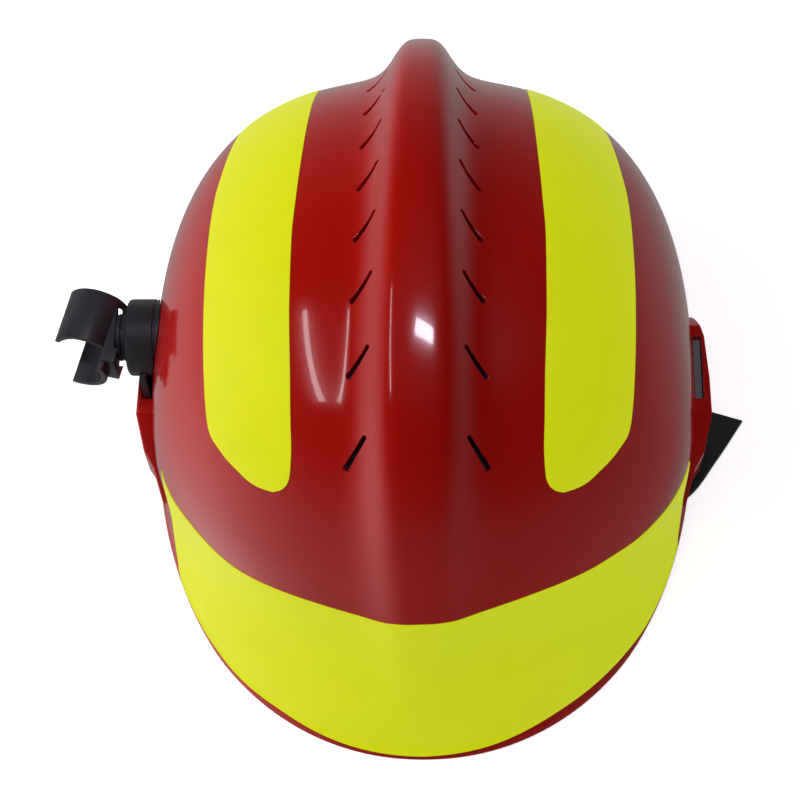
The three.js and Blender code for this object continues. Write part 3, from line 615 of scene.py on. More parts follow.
def shell_rows(x, lift):
    """Points down one column of the shell's outside or inside, from the peak's edge to the nape's."""
    t = np.linspace(0, 1, 900)
    p = surface(t, x, lift)
    ok = np.nonzero(p[:, 2] >= 0)[0]
    a, b = ok[0], ok[-1]

    def cross(i, j):
        f = (0 - p[i, 2]) / (p[j, 2] - p[i, 2])
        return t[i] + (t[j] - t[i]) * f

    t0 = cross(a - 1, a) if a > 0 else 0.0
    t1 = cross(b + 1, b) if b < len(t) - 1 else 1.0
    t = np.linspace(t0, t1, 900)
    p = surface(t, x, lift)
    s = np.r_[0, np.cumsum(np.linalg.norm(np.diff(p, axis=0), axis=1))]
    scale = min(1, s[-1] / 60)
    edge = EDGE * scale
    want = np.r_[edge, np.linspace(edge[-1], s[-1] - edge[-1], 208)[1:-1], (s[-1] - edge)[::-1]]
    t = np.interp(want, s, t)
    near = np.minimum(want, s[-1] - want) / max(scale, 1e-6)
    if lift < 0:
        return surface(t, x, lift + .9 * np.clip(1 - near, 0, 1) ** 2)
    return surface(t, x, (lip(near) - np.clip(1 - near, 0, 1) ** 2) * scale)


def shell_columns(half):
    inner = np.arange(0, FINE_X, 1.2) / HALF_WIDTH
    start = math.asin((FINE_X / HALF_WIDTH) ** COLUMN_POWER)
    outer = np.sin(np.linspace(start, math.pi / 2, 52)) ** (1 / COLUMN_POWER)
    q = np.r_[inner, outer]
    return half * np.r_[-q[:0:-1], q]


def shell_mesh():
    out = np.array([shell_rows(x, 0.0) for x in shell_columns(HALF_WIDTH)])
    inn = np.array([shell_rows(x, -WALL)[::-1] for x in shell_columns(HALF_WIDTH - WALL)])
    loops = np.concatenate([out, inn], 1)
    loops[..., 2] = np.maximum(loops[..., 2], 0)
    return make("shell_main", loops.reshape(-1, 3), grid_faces(*loops.shape[:2], False, True), 40)


def vent_cutter():
    """One mesh of all sixteen slots, each with a softly flared mouth that follows the surface."""
    points, faces = [], []
    rings = [(2.2, 1.35), (1.0, .85), (.35, .42), (0, .28), (-.25, .13), (-.6, .04), (-1.1, 0), (-7, 0)]
    for side in (-1, 1):
        distance = VENT_START
        for i in range(VENTS):
            middle = along(distance)
            x = between(VENT_X, middle)
            reach = 4.5 + 1.8 * math.exp(-.7 * i)
            near = surface(along(distance - reach), side * (x + 3.5))
            far = surface(along(distance + reach), side * (x - 3.5))
            centre = surface(middle, side * x)
            run = (far - near) / np.linalg.norm(far - near)
            outwards = normal(middle, np.array(side * x))
            deep = np.array([side * 8, centre[1] - EAR_Y, centre[2] - EAR_Z])
            deep /= np.linalg.norm(deep)
            across = np.cross(outwards, run)
            half = np.linalg.norm(far - near) / 2
            middle_point = (near + far) / 2
            start = len(points)
            for lift, grow in rings:
                for k in range(VENT_SIDES):
                    a = 2 * math.pi * (k + .5) / VENT_SIDES
                    r = (.8 if math.cos(a) > 0 else 1.15) + grow
                    p = half * (1 if math.cos(a) > 0 else -1) + r * math.cos(a)
                    q = r * math.sin(a)
                    spot = project(middle_point + run * p + across * q)
                    points.append(spot + (outwards if lift > -1.2 else deep) * lift)
            faces += grid_faces(len(rings), VENT_SIDES, False, True, start)
            last = start + (len(rings) - 1) * VENT_SIDES
            faces += [tuple(start + k for k in range(VENT_SIDES))[::-1],
                      tuple(last + k for k in range(VENT_SIDES))]
            distance += 22 + 14.6 * math.exp(-.45 * i)
    return make("vent_cutter", points, faces)


def true_normals(obj, angle=40):
    """Gives every corner on the shell's outside the surface's own normal, so cuts leave no smudges."""
    mesh = resmooth(obj, angle).data
    co = np.zeros(len(mesh.vertices) * 3)
    mesh.vertices.foreach_get("co", co)
    co = co.reshape(-1, 3) / MM - SHIFT
    t = t_of(co[:, 1], co[:, 2])
    on = surface(t, co[:, 0])
    gap = np.linalg.norm(on - co, axis=1)
    edge = np.minimum(t, 1 - t)
    normals = np.zeros(len(mesh.loops) * 3, np.float32)
    mesh.corner_normals.foreach_get("vector", normals)
    normals = normals.reshape(-1, 3)
    corner = np.zeros(len(mesh.loops), np.int32)
    mesh.loops.foreach_get("vertex_index", corner)
    trust = smooth((.05 - gap) / .04) * smooth((edge - .03) / .06) * smooth((60 - np.abs(co[:, 0])) / 20)
    exact = normal(t, co[:, 0])
    part = trust[corner][:, None]
    normals = exact[corner] * part + normals * (1 - part)
    normals /= np.linalg.norm(normals, axis=1, keepdims=True)
    mesh.normals_split_custom_set(normals.tolist())
    return obj


def make_shell():
    shell = shell_mesh()
    boolean(shell, vent_cutter())
    true_normals(shell)
    mesh = shell.data
    paint(shell, RED, INSIDE)
    centres = np.array([p.center for p in mesh.polygons]) / MM - SHIFT
    t = t_of(centres[:, 1], centres[:, 2])
    outside = surface(t, centres[:, 0])
    depth = (np.hypot(outside[:, 1] - EAR_Y, outside[:, 2] - EAR_Z)
             - np.hypot(centres[:, 1] - EAR_Y, centres[:, 2] - EAR_Z))
    for poly, d in zip(mesh.polygons, depth):
        poly.material_index = 1 if d > 2.4 else 0
    return ride(shell, "helmet", "shell", slot="shell_red")


SHELL = make_shell()


def side_pocket(side):
    plan = [(96, 38), (112, 38), (116.2, 31.5), (118.9, 22), (120.3, 2), (120.5, -14), (118, -26),
            (114.6, -31), (111.5, -42), (96, -42)]
    face = [(-42, 9.5), (-39, 14), (-26, 31), (-14, 43), (27, 43), (33.5, 38), (38, 9.5)]
    name = "left" if side > 0 else "right"
    tall = make("side_pocket_" + name, *prism([(side * x, y) for x, y in plan], 0, 60, PLAN))
    wide = make("wide", *prism(face, -130, 130, SIDE))
    boolean(tall, wide, "INTERSECT")
    slot = [(sx * 1.8 + 115.8, sy * 14.5 + 7.5) for sx, sy in ((-1, -1), (1, -1), (1, 1), (-1, 1))]
    cut = make("cut", *prism([(side * x, y) for x, y in slot], 16, 70, PLAN))
    boolean(tall, cut)
    bevel(tall, .9, 3, 24)
    apply(tall)
    # what lies inside the shell is cut away, so nothing shows on the inner wall
    keep = make("keep", *block(-1.4, 3, 90, -30, -29))
    boolean(tall, keep)
    resmooth(tall, 30)
    paint(tall, RED)
    return ride(tall, "helmet", slot="shell_red")


def block(lift, every, steps, bottom_z, lowest=-math.inf):
    """The space within the shell's surface moved out by lift, closed along a line below it."""
    xs = shell_columns(HALF_WIDTH + lift)[::every]
    rows = np.array([surface(np.linspace(0, 1, steps), x, lift) for x in xs])
    rows[..., 2] = np.maximum(rows[..., 2], lowest)
    bottom = np.stack([xs, xs * 0 + EAR_Y, xs * 0 + bottom_z], -1)
    loop = np.concatenate([rows, bottom[:, None]], 1)
    return loop.reshape(-1, 3), grid_faces(*loop.shape[:2], False, True)


for one_side in (1, -1):
    side_pocket(one_side)


# ---- stickers ----
def curve_through(table, t):
    """A smooth curve through [t, value] pairs that never overshoots them."""
    x, y = np.array(table, float).T
    h, d = np.diff(x), np.diff(y) / np.diff(x)
    m = np.zeros(len(x))
    same = d[1:] * d[:-1] > 0
    m[1:-1][same] = 2 * d[1:][same] * d[:-1][same] / (d[1:] + d[:-1])[same]
    m[0], m[-1] = d[0], d[-1]
    i = np.clip(np.searchsorted(x, t) - 1, 0, len(x) - 2)
    u = np.clip((t - x[i]) / h[i], 0, 1)
    return ((2 * u ** 3 - 3 * u ** 2 + 1) * y[i] + (u ** 3 - 2 * u ** 2 + u) * h[i] * m[i]
            + (-2 * u ** 3 + 3 * u ** 2) * y[i + 1] + (u ** 3 - u ** 2) * h[i] * m[i + 1])


BAND_T, CRESCENT_END = (.4105, .862), 105.6
BAND_INNER = [[.4105, 54.6], [.413, 51.5], [.418, 49.2], [.425, 48], [.437, 47.4], [.45, 47.1], [.47, 47.3],
              [.5, 47.5], [.56, 48.4], [.61, 48.5], [.65, 47.5], [.7, 46], [.75, 44.6], [.8, 43.5],
              [.835, 43.4], [.85, 45], [.858, 48], [.862, 54]]
BAND_OUTER = [[.4105, 54.6], [.413, 59.5], [.417, 63.4], [.427, 68.6], [.437, 73.2], [.448, 76.9],
              [.455, 79], [.463, 80.2], [.475, 81], [.5, 81.9], [.55, 82.9], [.6, 83.3], [.65, 83], [.69, 82],
              [.72, 80], [.75, 78], [.8, 74], [.83, 68], [.85, 62], [.862, 54]]
CRESCENT_TOP = [[0, .272], [8, .2712], [16, .2685], [25, .271], [34, .2755], [46, .282], [58, .2875],
                [69, .293], [76.5, .2995], [82.5, .306], [88, .315], [92.6, .3245], [97, .333],
                [101, .345], [104, .362], [105.6, .385]]
CRESCENT_LOW = [[0, .027], [30, .030], [42, .032], [57, .034], [69, .030], [77, .026], [85, .022],
                [93, .019], [99, .02], [103, .035], [105, .14], [105.6, .385]]
FILM = .28


def lip_height(t, x):
    # How much the shell's rolled lip lifts its outside near the rim, for one column of points.
    fine = np.linspace(0, max(t.max(), .1), 900)
    p = surface(fine, x)
    s = np.r_[0, np.cumsum(np.linalg.norm(np.diff(p, axis=0), axis=1))]
    start = np.argmax(p[:, 2] >= 0)
    near = np.interp(t, fine, s) - s[start]
    return lip(near) * (near > -1)


def sticker(name, t, x, node):
    lift = np.full(t.shape, FILM)
    if node == "front_sticker":
        lift += np.stack([lip_height(t[:, k], x[0, k]) for k in range(t.shape[1])], 1)
    top = above(t, x, lift)
    low = above(t, x, lift * 0 - .25)
    piece = make(name, *closed_sheet(low, top), 30, YELLOW)
    return ride(piece, "helmet", node, slot="reflective_yellow")


def band(side):
    v = (1 - np.cos(np.linspace(0, math.pi, 150))) / 2
    t = BAND_T[0] + (BAND_T[1] - BAND_T[0]) * v
    inner, outer = curve_through(BAND_INNER, t), curve_through(BAND_OUTER, t)
    u = np.linspace(0, 1, 25)
    x = side * (inner[:, None] + (outer - inner)[:, None] * u)
    name = "left" if side > 0 else "right"
    sticker("film_band_" + name, np.repeat(t[:, None], 25, 1), x, "band_sticker_" + name)


for one_side in (1, -1):
    band(one_side)
crescent_x = CRESCENT_END * np.sin(np.linspace(-math.pi / 2, math.pi / 2, 190))
crescent_top = curve_through(CRESCENT_TOP, np.abs(crescent_x))
crescent_low = curve_through(CRESCENT_LOW, np.abs(crescent_x))
askew = .00014 * crescent_x * (1 - smooth((np.abs(crescent_x) - 72) / 24))
crescent_top, crescent_low = crescent_top + askew, crescent_low + askew * .4
crescent_x = crescent_x + 4 * np.clip(crescent_x / CRESCENT_END, 0, 1) ** 5
across = np.linspace(0, 1, 36)[:, None]
crescent_t = crescent_low + (crescent_top - crescent_low) * across
sticker("film_front", crescent_t, np.repeat(crescent_x[None], 36, 0), "front_sticker")


# ---- torch holder ----
TURRET_Y, TURRET_Z = 12, 62


def make_bracket():
    profile_points = [(0, -4), (15.6, -4), (15.6, 1.5), (16, 2.2), (16, 9.2), (15.65, 9.6),
                      (15.65, 10.3), (16, 10.7), (16, 20.4), (15.7, 21.2), (14.9, 21.8), (13.6, 22),
                      (9.6, 22), (9.1, 21.6), (8.7, 20.6), (0, 20.6)]
    body = make("torch_bracket", *turned(profile_points, (-100, TURRET_Y, TURRET_Z), (-1, 0, 0), 96))
    at_tongue = ((0, 7.5, 38.4), *SIDE[1:])
    tongue = make("tongue", *prism(rounded_outline(28.2, 44, 4), -117.2, -114.4, at_tongue))
    boolean(body, tongue, "UNION")
    return body


bracket = make_bracket()
boolean(bracket, make("block", *block(.35, 2, 120, EAR_Z)))
resmooth(bracket, 28)
paint(bracket, BLACK)
ride(bracket, "lamp_mount", "lamp_bracket", slot="black_plastic")


CLIP_R, CLIP_BORE_R, CLIP_LEAN, DISC_ROOM_R = 12.7, 10.3, .22, 12.3


def jaw(start_angle, end_angle, tip):
    """The outline of part of the clip's ring, whose wall thins a little towards the tip's angle."""
    outline = []
    steps = 60
    for k in range(steps + 1):
        a = start_angle + (end_angle - start_angle) * k / steps
        outline.append((CLIP_R * math.cos(a), CLIP_R * math.sin(a)))
    for k in range(steps + 1):
        a = end_angle + (start_angle - end_angle) * k / steps
        r = CLIP_BORE_R + .55 * math.exp(-abs(a - tip) * 5)
        outline.append((r * math.cos(a), r * math.sin(a)))
    return outline


def make_clip():
    inward = (math.cos(CLIP_LEAN), -math.sin(CLIP_LEAN), 0)
    forward = (-math.sin(CLIP_LEAN), -math.cos(CLIP_LEAN), 0)
    basis = ((-139.2, TURRET_Y, TURRET_Z), inward, tuple(np.cross(forward, inward)), forward)
    upper_tip, lower_tip = .89 * math.pi, -.61 * math.pi
    clip = make("torch_holder_clip", *prism(jaw(-.5, upper_tip, upper_tip), -16.4, 6.6, basis))
    lower = make("lower", *prism(jaw(lower_tip, .5, lower_tip), -9, 15.8, basis))
    boolean(clip, lower, "UNION")
    saddle = [(9.6, -8.2), (15.7, -8.2), (15.7, 8.2), (9.6, 8.2)]
    boolean(clip, make("saddle", *prism(saddle, -11, 12.2, basis)), "UNION")
    boolean(clip, make("bore", *prism(circle(CLIP_BORE_R, 96), -11.5, 12.7, basis)))
    on_turret = ((0, TURRET_Y, TURRET_Z), *SIDE[1:])
    boolean(clip, make("room", *prism(circle(DISC_ROOM_R, 64), -126.9, -100, on_turret)))
    bevel(clip, .5, 3, 32)
    apply(clip)
    resmooth(clip, 34)
    paint(clip, BLACK)
    return ride(clip, "lamp_arm", "torch_clip", slot="black_plastic")


make_clip()
DISC_PROFILE = [(2.7, 0), (9.1, 0), (9.8, .6), (9.8, 1.5), (9.4, 1.8), (9.4, 2.3), (9.8, 2.6),
                (9.8, 3.6), (9.2, 4.2), (2.7, 4.2)]
disc = make("torch_disc", *turned(DISC_PROFILE, (-122.3, TURRET_Y, TURRET_Z), (-1, 0, 0), 72), 30, BLACK)
ride(disc, "lamp_arm", "lamp_disc", slot="black_plastic")

# ---- webbing ----
WEB, GAP, FLOOR = 1.8, .4, .4


def unit(v):
    v = np.array(v, float)
    return v / np.linalg.norm(v)


def clasp(side, y, z):
    wall = [wall_at(y + d, z + 9, -WALL) for d in (-11, 0, 11)]
    slope = (wall[2] - wall[0]) / 22
    out = unit((side, -slope, 0))
    x = side * (min(wall[1], (wall[0] + wall[2]) / 2) - 7)
    run = np.array([-out[1], out[0], 0])
    return np.array([x, y, z]) + out * (1.4 + GAP + WEB / 2) + np.array([0, 0, 1.4]), run


def joint_slot(centre, turn, u, v, level):
    rearward = np.array([math.cos(turn), math.sin(turn), 0])
    outer = np.array([rearward[1], -rearward[0], 0])
    d = outer * u + rearward * v
    across_ = np.array([-d[1], d[0], 0])
    at = np.array([centre[0], centre[1], FLOOR + level + WEB / 2]) + d * 10
    return at + d * GAP, at + d * 6, d, across_


def rows_of_stitches(name, places, body, size):
    """Small threads lying on a surface: each place is (centre, direction, up)."""
    points, faces = [], []
    for centre, direction, up in places:
        direction, up = unit(direction), unit(up)
        side = np.cross(up, direction)
        start = len(points)
        for k in range(7):
            s = -1 + 2 * k / 6
            r = size[0] * math.sqrt(max(1 - (s * .96) ** 4, .02))
            hump = (1 - s * s) * size[0] * .55 - size[0] * .35
            for j in range(8):
                a = 2 * math.pi * j / 8
                round_ = side * r * math.cos(a) + up * (r * .7 * math.sin(a) + hump)
                points.append(np.array(centre) + direction * s * size[1] + round_)
        faces += grid_faces(7, 8, False, True, start)
        faces += [tuple(start + k for k in range(8))[::-1], tuple(start + 48 + k for k in range(8))]
    piece = make(name, points, faces, 80, THREAD)
    return ride(piece, body)


def spread(directions, n):
    """Directions given at the points of a path, passed on to n even steps."""
    directions = np.array(directions)
    given = np.linspace(0, len(directions) - 1, n)
    return np.stack([np.interp(given, range(len(directions)), directions[:, a]) for a in range(3)], -1)


def hang(name, top, run, slot, path):
    start, mouth, d, across_ = slot
    flip = -1 if np.dot(run[:2], across_[:2]) < 0 else 1
    points = [top + np.array([0, 0, k]) for k in (0, -6, -11, -15)] + [np.array(p, float) for p in path]
    points += [mouth + d * k for k in (6, 1.5, -2.5)] + [start]
    hanging = 5 if path else 4
    line, _ = spline(points, 90)
    side = spread([run if i < hanging else across_ * flip for i in range(len(points))], 90)
    piece = strap("web_" + name, line, side, 19, WEB, .8, WEBBING)
    ride(piece, "helmet", "webbing_" + name, slot="webbing")


LEFT_J, RIGHT_J = ((79.2, -50), .93), ((-78.5, -50), math.pi - .93)
LOW, HIGH = 1, 1 + WEB + 3 * GAP
CLASPS = {(s, e): clasp(s, y, 26) for s in (1, -1) for e, y in (("front", -57), ("rear", 46))}
for s, where, j in ((1, "left", LEFT_J), (-1, "right", RIGHT_J)):
    hang("front_" + where, *CLASPS[s, "front"], joint_slot(*j, s, 0, HIGH), [])
    by_ear = [(s * 98, 38, 8.4), (s * 93, 22, 6.5)]
    hang("rear_" + where, *CLASPS[s, "rear"], joint_slot(*j, 0, 1, HIGH), by_ear)

tail = joint_slot(*LEFT_J, 0, 1, LOW)
low = FLOOR + WEB / 2
TAIL_END = (130.9, 6.3, low)
tail_points = [tail[0], tail[1], tail[1] + tail[2] * 4 + np.array([0, 0, -.6]),
               (106.6, -28.2, low), (118.6, -12.6, low), TAIL_END]
tail_line, _ = spline(tail_points, 70)
tail_side = spread([tail[3]] * 3 + [(-.72, .69, 0), (-.841, .541, 0), (-.841, .541, 0)], 70)
tail_web = strap("web_tail", tail_line, tail_side, 19, WEB, .8, WEBBING)
tail_cut = [(-40, 0), (4, 0), (4, 20), (-40, 20)]
at_end = ((138.9, 1.2, 0), (.953, -.303, 0), (.303, .953, 0), (0, 0, 1))
boolean(tail_web, make("tail_cut", *prism(tail_cut, -4, 8, at_end)))
ride(resmooth(tail_web, 50), "helmet", "webbing_tail", slot="webbing")

BUCKLE_Y = -30
CHIN_PATHS = {
    "left": (LEFT_J, -1, 90, [(59, -2, 3.9), (51, 0, 4.4), (40, 0, 4.4), (26, 0, 4.3), (13, 0, 4.3)]),
    "right": (RIGHT_J, 1, 70, [(-57, -2, 4.1), (-50, 0, 4.3), (-46, 0, 4.3), (-43.5, 0, 4.3)]),
}
for which, (j, sign, steps, rest) in CHIN_PATHS.items():
    start, mouth, _, across_ = joint_slot(*j, sign, 0, LOW)
    chin_line, _ = spline([start, mouth] + [(x, BUCKLE_Y + y, z) for x, y, z in rest], steps)
    straight = [(0, sign, 0)] * (len(rest) - 1)
    chin_side = spread([across_, across_, (-.3, .95 * sign, 0)] + straight, steps)
    chin_web = strap("web_chin_" + which, chin_line, chin_side, 19, WEB, .8, WEBBING)
    ride(chin_web, "helmet", "chin_webbing_" + which, slot="webbing")

# crown straps
X3, Y3 = np.array([1.0, 0, 0]), np.array([0, 1.0, 0])
CROWN_PATHS = {
    "long": (X3, [(0, -92, 60), (0, -80, 84), (0, -46, 107), (0, 0, 116), (0, 46, 106), (0, 80, 82),
                  (0, 95, 58)]),
    "cross": (Y3, [(-88, 0, 52), (-80, 0, 84), (-46, 0, 110), (0, 0, 118.2), (46, 0, 110), (80, 0, 84),
                   (88, 0, 52)]),
}
for which, (side_way, crown_points) in CROWN_PATHS.items():
    line, _ = spline(crown_points, 120)
    web = strap("crown_web_" + which, line, np.tile(side_way, (120, 1)), 16, 1.4, .6, CROWN_WEB)
    ride(web, "helmet", "crown_strap_" + which, slot="webbing")


# ---- head bands and padding ----
def ellipse(cy, rx, ry, a0, a1, z, n):
    a = np.linspace(a0, a1, n)
    return np.stack([rx * np.sin(a), cy + ry * np.cos(a), np.full(n, float(z))], -1)


Z3 = np.array([0, 0, 1.0])
BAND_Y, BAND_RX, BAND_RY, BAND_GAP, NAPE_RX = -4, 78, 97, .72, 81.5
line = ellipse(BAND_Y, BAND_RX, BAND_RY, BAND_GAP, 2 * math.pi - BAND_GAP, 27, 200)
head_band = strap("head_band", line, np.tile(Z3, (200, 1)), 26, 1.6, .7, BLACK)
ride(head_band, "helmet", "headband", slot="black_plastic")
arc = ellipse(11, NAPE_RX, BAND_RY, math.pi / 2, -math.pi / 2, 24, 120)
ends = [(NAPE_RX, -28, 24), (NAPE_RX, -8, 24)], [(-NAPE_RX, -8, 24), (-NAPE_RX, -28, 24)]
line = np.vstack([ends[0], arc, ends[1]])
line, _ = spline(line, 220)
nape_band = strap("nape_band", line, np.tile(Z3, (220, 1)), 12, 1.6, .7, BLACK)
ride(nape_band, "nape", "nape_strap", slot="black_plastic")


def puff(obj, voxel, cap, pressure=4.0, frames=20):
    """Blows the padding up a little with a cloth run, and limits how far any point may move."""
    mod = obj.modifiers.new("remesh", "REMESH")
    mod.mode, mod.voxel_size = "VOXEL", voxel * MM
    apply(obj)
    start = np.array([v.co[:] for v in obj.data.vertices])
    mod = obj.modifiers.new("cloth", "CLOTH")
    mod.settings.use_pressure = True
    mod.settings.uniform_pressure_force = pressure
    mod.settings.effector_weights.gravity = 0
    mod.settings.quality = 5
    mod.point_cache.frame_start, mod.point_cache.frame_end = 1, frames
    for n in range(1, frames + 1):
        scene.frame_set(n)
    apply(obj)
    scene.frame_set(1)
    moved = np.array([v.co[:] for v in obj.data.vertices])
    if len(moved) == len(start):
        step = moved - start
        far = np.linalg.norm(step, axis=1, keepdims=True)
        step *= np.minimum(1, cap * MM / np.maximum(far, 1e-9))
        obj.data.vertices.foreach_set("co", (start + step).reshape(-1))
    smoothing = obj.modifiers.new("smooth", "SMOOTH")
    smoothing.iterations, smoothing.factor = 4, .5
    sub = obj.modifiers.new("sub", "SUBSURF")
    sub.levels = sub.render_levels = 1
    apply(obj)
    obj.data.shade_smooth()
    return obj


def pad_strip(name, cy, rx, ry, a0, a1, z, width, thick, n=90):
    line = ellipse(cy, rx, ry, a0, a1, z, n)
    return strap(name, line, np.tile(Z3, (n, 1)), width, thick, thick * .45, LEATHER)


def finish_pad(obj, body, node, material, slot):
    paint(obj, material)
    ride(obj, body, node, slot=slot)


sweat = pad_strip("sweat_band", BAND_Y, BAND_RX - 3.7, BAND_RY - 3.7, math.pi - 1.13, math.pi + 1.13,
                  27, 28, 3.4, 120)
puff(sweat, 1.3, .7)
finish_pad(sweat, "helmet", "sweatband", LEATHER, "leather")
nape = pad_strip("nape_cushion", 11, NAPE_RX - 5.4, BAND_RY - 5.4, .4, -.4, 26, 26, 6.4)
puff(nape, 1.3, .8)
finish_pad(nape, "nape", "nape_pad", LEATHER, "leather")
crown = make("crown_cushion", *prism(rounded_outline(44, 44, 12), 120, 123.4, PLAN))
puff(crown, 1.2, .5)
finish_pad(crown, "helmet", "crown_pad", FOAM, "foam")
at_pad = ((41, BUCKLE_Y - .4, 0), *PLAN[1:])
chin_pad = make("chin_cushion", *prism(rounded_outline(29, 33, 8.6), .9, 7.9, at_pad))
slit = [(10, -13.2), (70, -13.2), (70, 12), (10, 12)]
at_buckle = ((0, BUCKLE_Y, 0), *PLAN[1:])
boolean(chin_pad, make("slit", *prism(slit, 2.4, 6.2, at_buckle)))
puff(chin_pad, .8, .35)
finish_pad(chin_pad, "helmet", "chin_pad", LEATHER, "leather")


LINER_T, LINER_SPAN, LINER_LENGTH, LINER_HALF = (.335, .82), .485, 190, 84


def make_liner():
    """Moulded foam with shallow channels under the vents and rounded borders."""
    t = np.linspace(*LINER_T, 120)[:, None]
    x = LINER_HALF * np.linspace(-1, 1, 121)[None, :]
    edge = np.minimum((t - LINER_T[0]) / LINER_SPAN, (LINER_T[1] - t) / LINER_SPAN) * LINER_LENGTH
    edge = np.maximum(np.minimum(edge, LINER_HALF - np.abs(x)), 0)
    round_ = np.where(edge < 3, 3 - np.sqrt(np.maximum(9 - (3 - edge) ** 2, 0)), 0)
    channel = 2.6 * np.exp(-((np.abs(x) - 19) / 3.2) ** 2) + 2.0 * np.exp(-((np.abs(x) - 50) / 3) ** 2)
    channel = channel * smooth((edge - 5) / 5)
    ribs = .5 * (1 + np.cos(2 * math.pi * (t - LINER_T[0]) / .06)) * .35
    outer = surface(t, x, -4.9 - np.minimum(round_, 3))
    inner = surface(t, x, -14.7 + np.minimum(round_, 3) + channel + ribs * smooth((edge - 5) / 5))
    piece = make("foam_liner", *closed_sheet(inner, outer), 50, FOAM)
    ride(piece, "helmet", "liner", slot="foam")


make_liner()

# stitches where the straps are sewn, and along the padding
SEAM_IN, THREAD_SIZE = 6.05, (.24, .95)
places = []
for s in (1, -1):
    for e in ("front", "rear"):
        top, run = CLASPS[s, e]
        inwards = -unit((top[0], 0, 0)) * 1.0
        face = unit(np.cross(run, Z3))
        face = face if np.dot(face, inwards) > 0 else -face
        for dz in (-10.6, -12.6):
            for k in range(-3, 4):
                places.append((top + run * k * 2.6 + Z3 * dz + face * (WEB / 2 + .02), run, face))
rows_of_stitches("stitches_webbing", places, "helmet", THREAD_SIZE)
places = []
for z in (17, 37):
    for a in np.linspace(math.pi - 1.08, math.pi + 1.08, 74):
        inward = unit((-math.sin(a) / 74, -math.cos(a) / 93, 0))
        spot = np.array([(BAND_RX - SEAM_IN) * math.sin(a), BAND_Y + (BAND_RY - SEAM_IN) * math.cos(a), z])
        places.append((spot, (math.cos(a) * 74, -math.sin(a) * 93, 0), inward))
rows_of_stitches("stitches_sweat_band", places, "helmet", THREAD_SIZE)


def button_coil():
    """The button's spring: a coil of steel wire that fills the spring part's box."""
    low, high = (np.array(v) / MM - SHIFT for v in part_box("button_spring"))
    wire, turns = .5, 3.5
    middle, radius = (low + high) / 2, (high - low)[0] / 2 - wire / 2
    a = np.linspace(0, 2 * math.pi * turns, 160)
    out = np.stack([np.cos(a), np.sin(a), a * 0], -1)
    path = middle + out * radius
    path[:, 2] = np.linspace(low[2] + wire / 2, high[2] - wire / 2, 160)
    coil = strap("button_coil", path, out, wire, wire, wire * .49, STEEL)
    ride(coil, "helmet", "button_spring", slot="steel")
    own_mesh(coil)


button_coil()

# ---- CAD nodes that stay ----
LOOKS = {
    "lamp_washer": STEEL, "lamp_pivot_screw": STEEL, "ratchet_screw": STEEL,
    "pocket_plug": GREY, "ratchet_pinion": GREY, "buckle_button": BUTTON,
    **{f"anchor_rivet_{end}_{side}": STEEL for end in ("front", "rear") for side in ("left", "right")},
}
for name, node in NODES.items():
    if node.hide_render:
        continue
    paint(node, LOOKS.get(name, BLACK))
    small = LOOKS.get(name) is STEEL or name in ("ratchet_pinion", "buckle_button")
    bevel(node, .25 if small else .45, 2, 32)

# ---- floor and light ----
FLOOR_REACH = 6000
floor_corners = [(FLOOR_REACH * x, FLOOR_REACH * y, 0) for x, y in ((-1, -1), (1, -1), (1, 1), (-1, 1))]
floor = make("floor", floor_corners, [(0, 1, 2, 3)], 30, floor_look())
floor.location.z = -.0001
floor.visible_glossy = False


def area(name, at, size, power, colour=(1, 1, 1), glossy=True, target=(0, 0, .07)):
    data = bpy.data.lights.new(name, "AREA")
    data.shape, data.energy, data.color = "RECTANGLE", power, colour
    data.size, data.size_y = size
    light = bpy.data.objects.new(name, data)
    light.location = at
    light.rotation_euler = (Vector(target) - Vector(at)).to_track_quat("-Z", "Y").to_euler()
    light.visible_glossy = glossy
    scene.collection.objects.link(light)


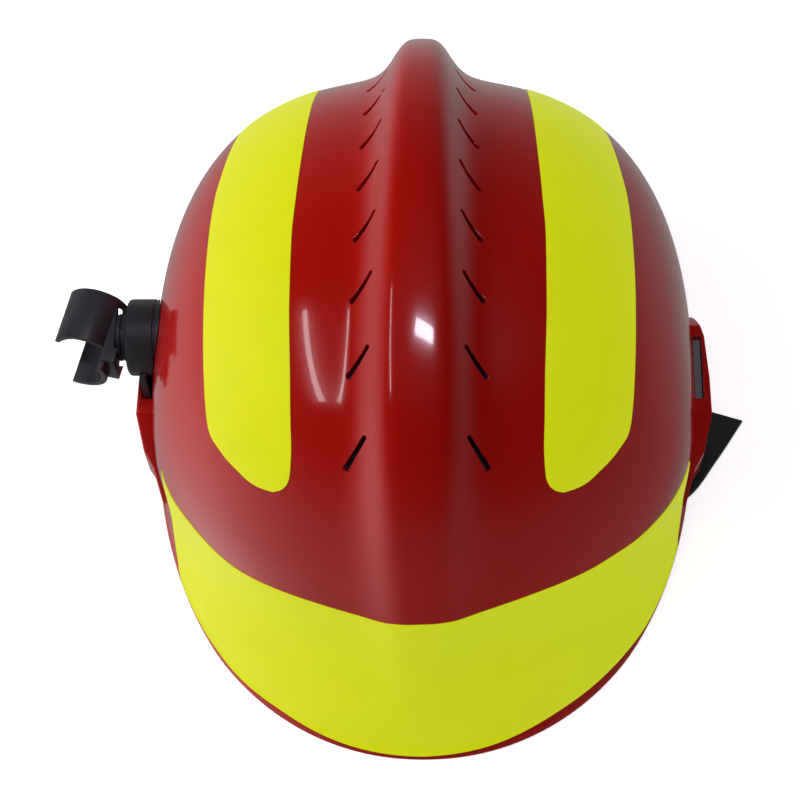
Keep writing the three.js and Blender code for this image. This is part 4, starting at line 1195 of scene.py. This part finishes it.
area("key", (-1.98, .25, 1.0), (1.4, 1.4), 37, (1, .985, .97), glossy=False)
area("fill_top", (.1, .1, 2.3), (2.0, 2.0), 13.5, glossy=False)
area("ceiling_window", (.17, -.04, 2.2), (.2, .5), 9, (.88, .84, 1))
area("tube", (-1.06, -.1, 1.96), (1.25, .08), 3, (1, .95, .97))


def room():
    """A room that is bright to the left and behind, dim in front, and dark overhead."""
    world = bpy.data.worlds.new("room")
    scene.world = world
    world.use_nodes = True
    tree = world.node_tree
    tree.nodes.clear()
    link = tree.links.new
    output = tree.nodes.new("ShaderNodeOutputWorld")
    background = tree.nodes.new("ShaderNodeBackground")
    where = tree.nodes.new("ShaderNodeTexCoord")
    split = tree.nodes.new("ShaderNodeSeparateXYZ")
    link(where.outputs["Generated"], split.inputs[0])

    def math_node(operation, a, b):
        n = tree.nodes.new("ShaderNodeMath")
        n.operation = operation
        for socket, v in zip(n.inputs, (a, b)):
            if isinstance(v, (int, float)):
                socket.default_value = v
            else:
                link(v, socket)
        return n.outputs[0]

    def ramp(value, stops):
        n = tree.nodes.new("ShaderNodeValToRGB")
        n.color_ramp.interpolation = "B_SPLINE"
        link(value, n.inputs[0])
        while len(n.color_ramp.elements) < len(stops):
            n.color_ramp.elements.new(.5)
        for element, (position, level) in zip(n.color_ramp.elements, stops):
            element.position, element.color = position, (level, level, level, 1)
        return n.outputs[0]

    turn = math_node("ARCTAN2", split.outputs["X"], math_node("MULTIPLY", split.outputs["Y"], -1))
    turn = math_node("ADD", math_node("DIVIDE", turn, 2 * math.pi), .5)
    around = ramp(turn, [(0, .5), (.1, .38), (.2, .45), (.29, 1.15), (.37, .55), (.45, .07), (.55, .04),
                         (.65, .15), (.77, .15), (.87, .34), (1, .5)])
    height = math_node("MULTIPLY_ADD", split.outputs["Z"], .5)
    height.node.inputs[2].default_value = .5
    upward = ramp(height, [(0, .6), (.25, .95), (.42, 1), (.56, .65), (.68, .36), (.8, .08), (.92, .01)])
    link(math_node("MULTIPLY", around, upward), background.inputs[0])
    link(background.outputs[0], output.inputs[0])


room()
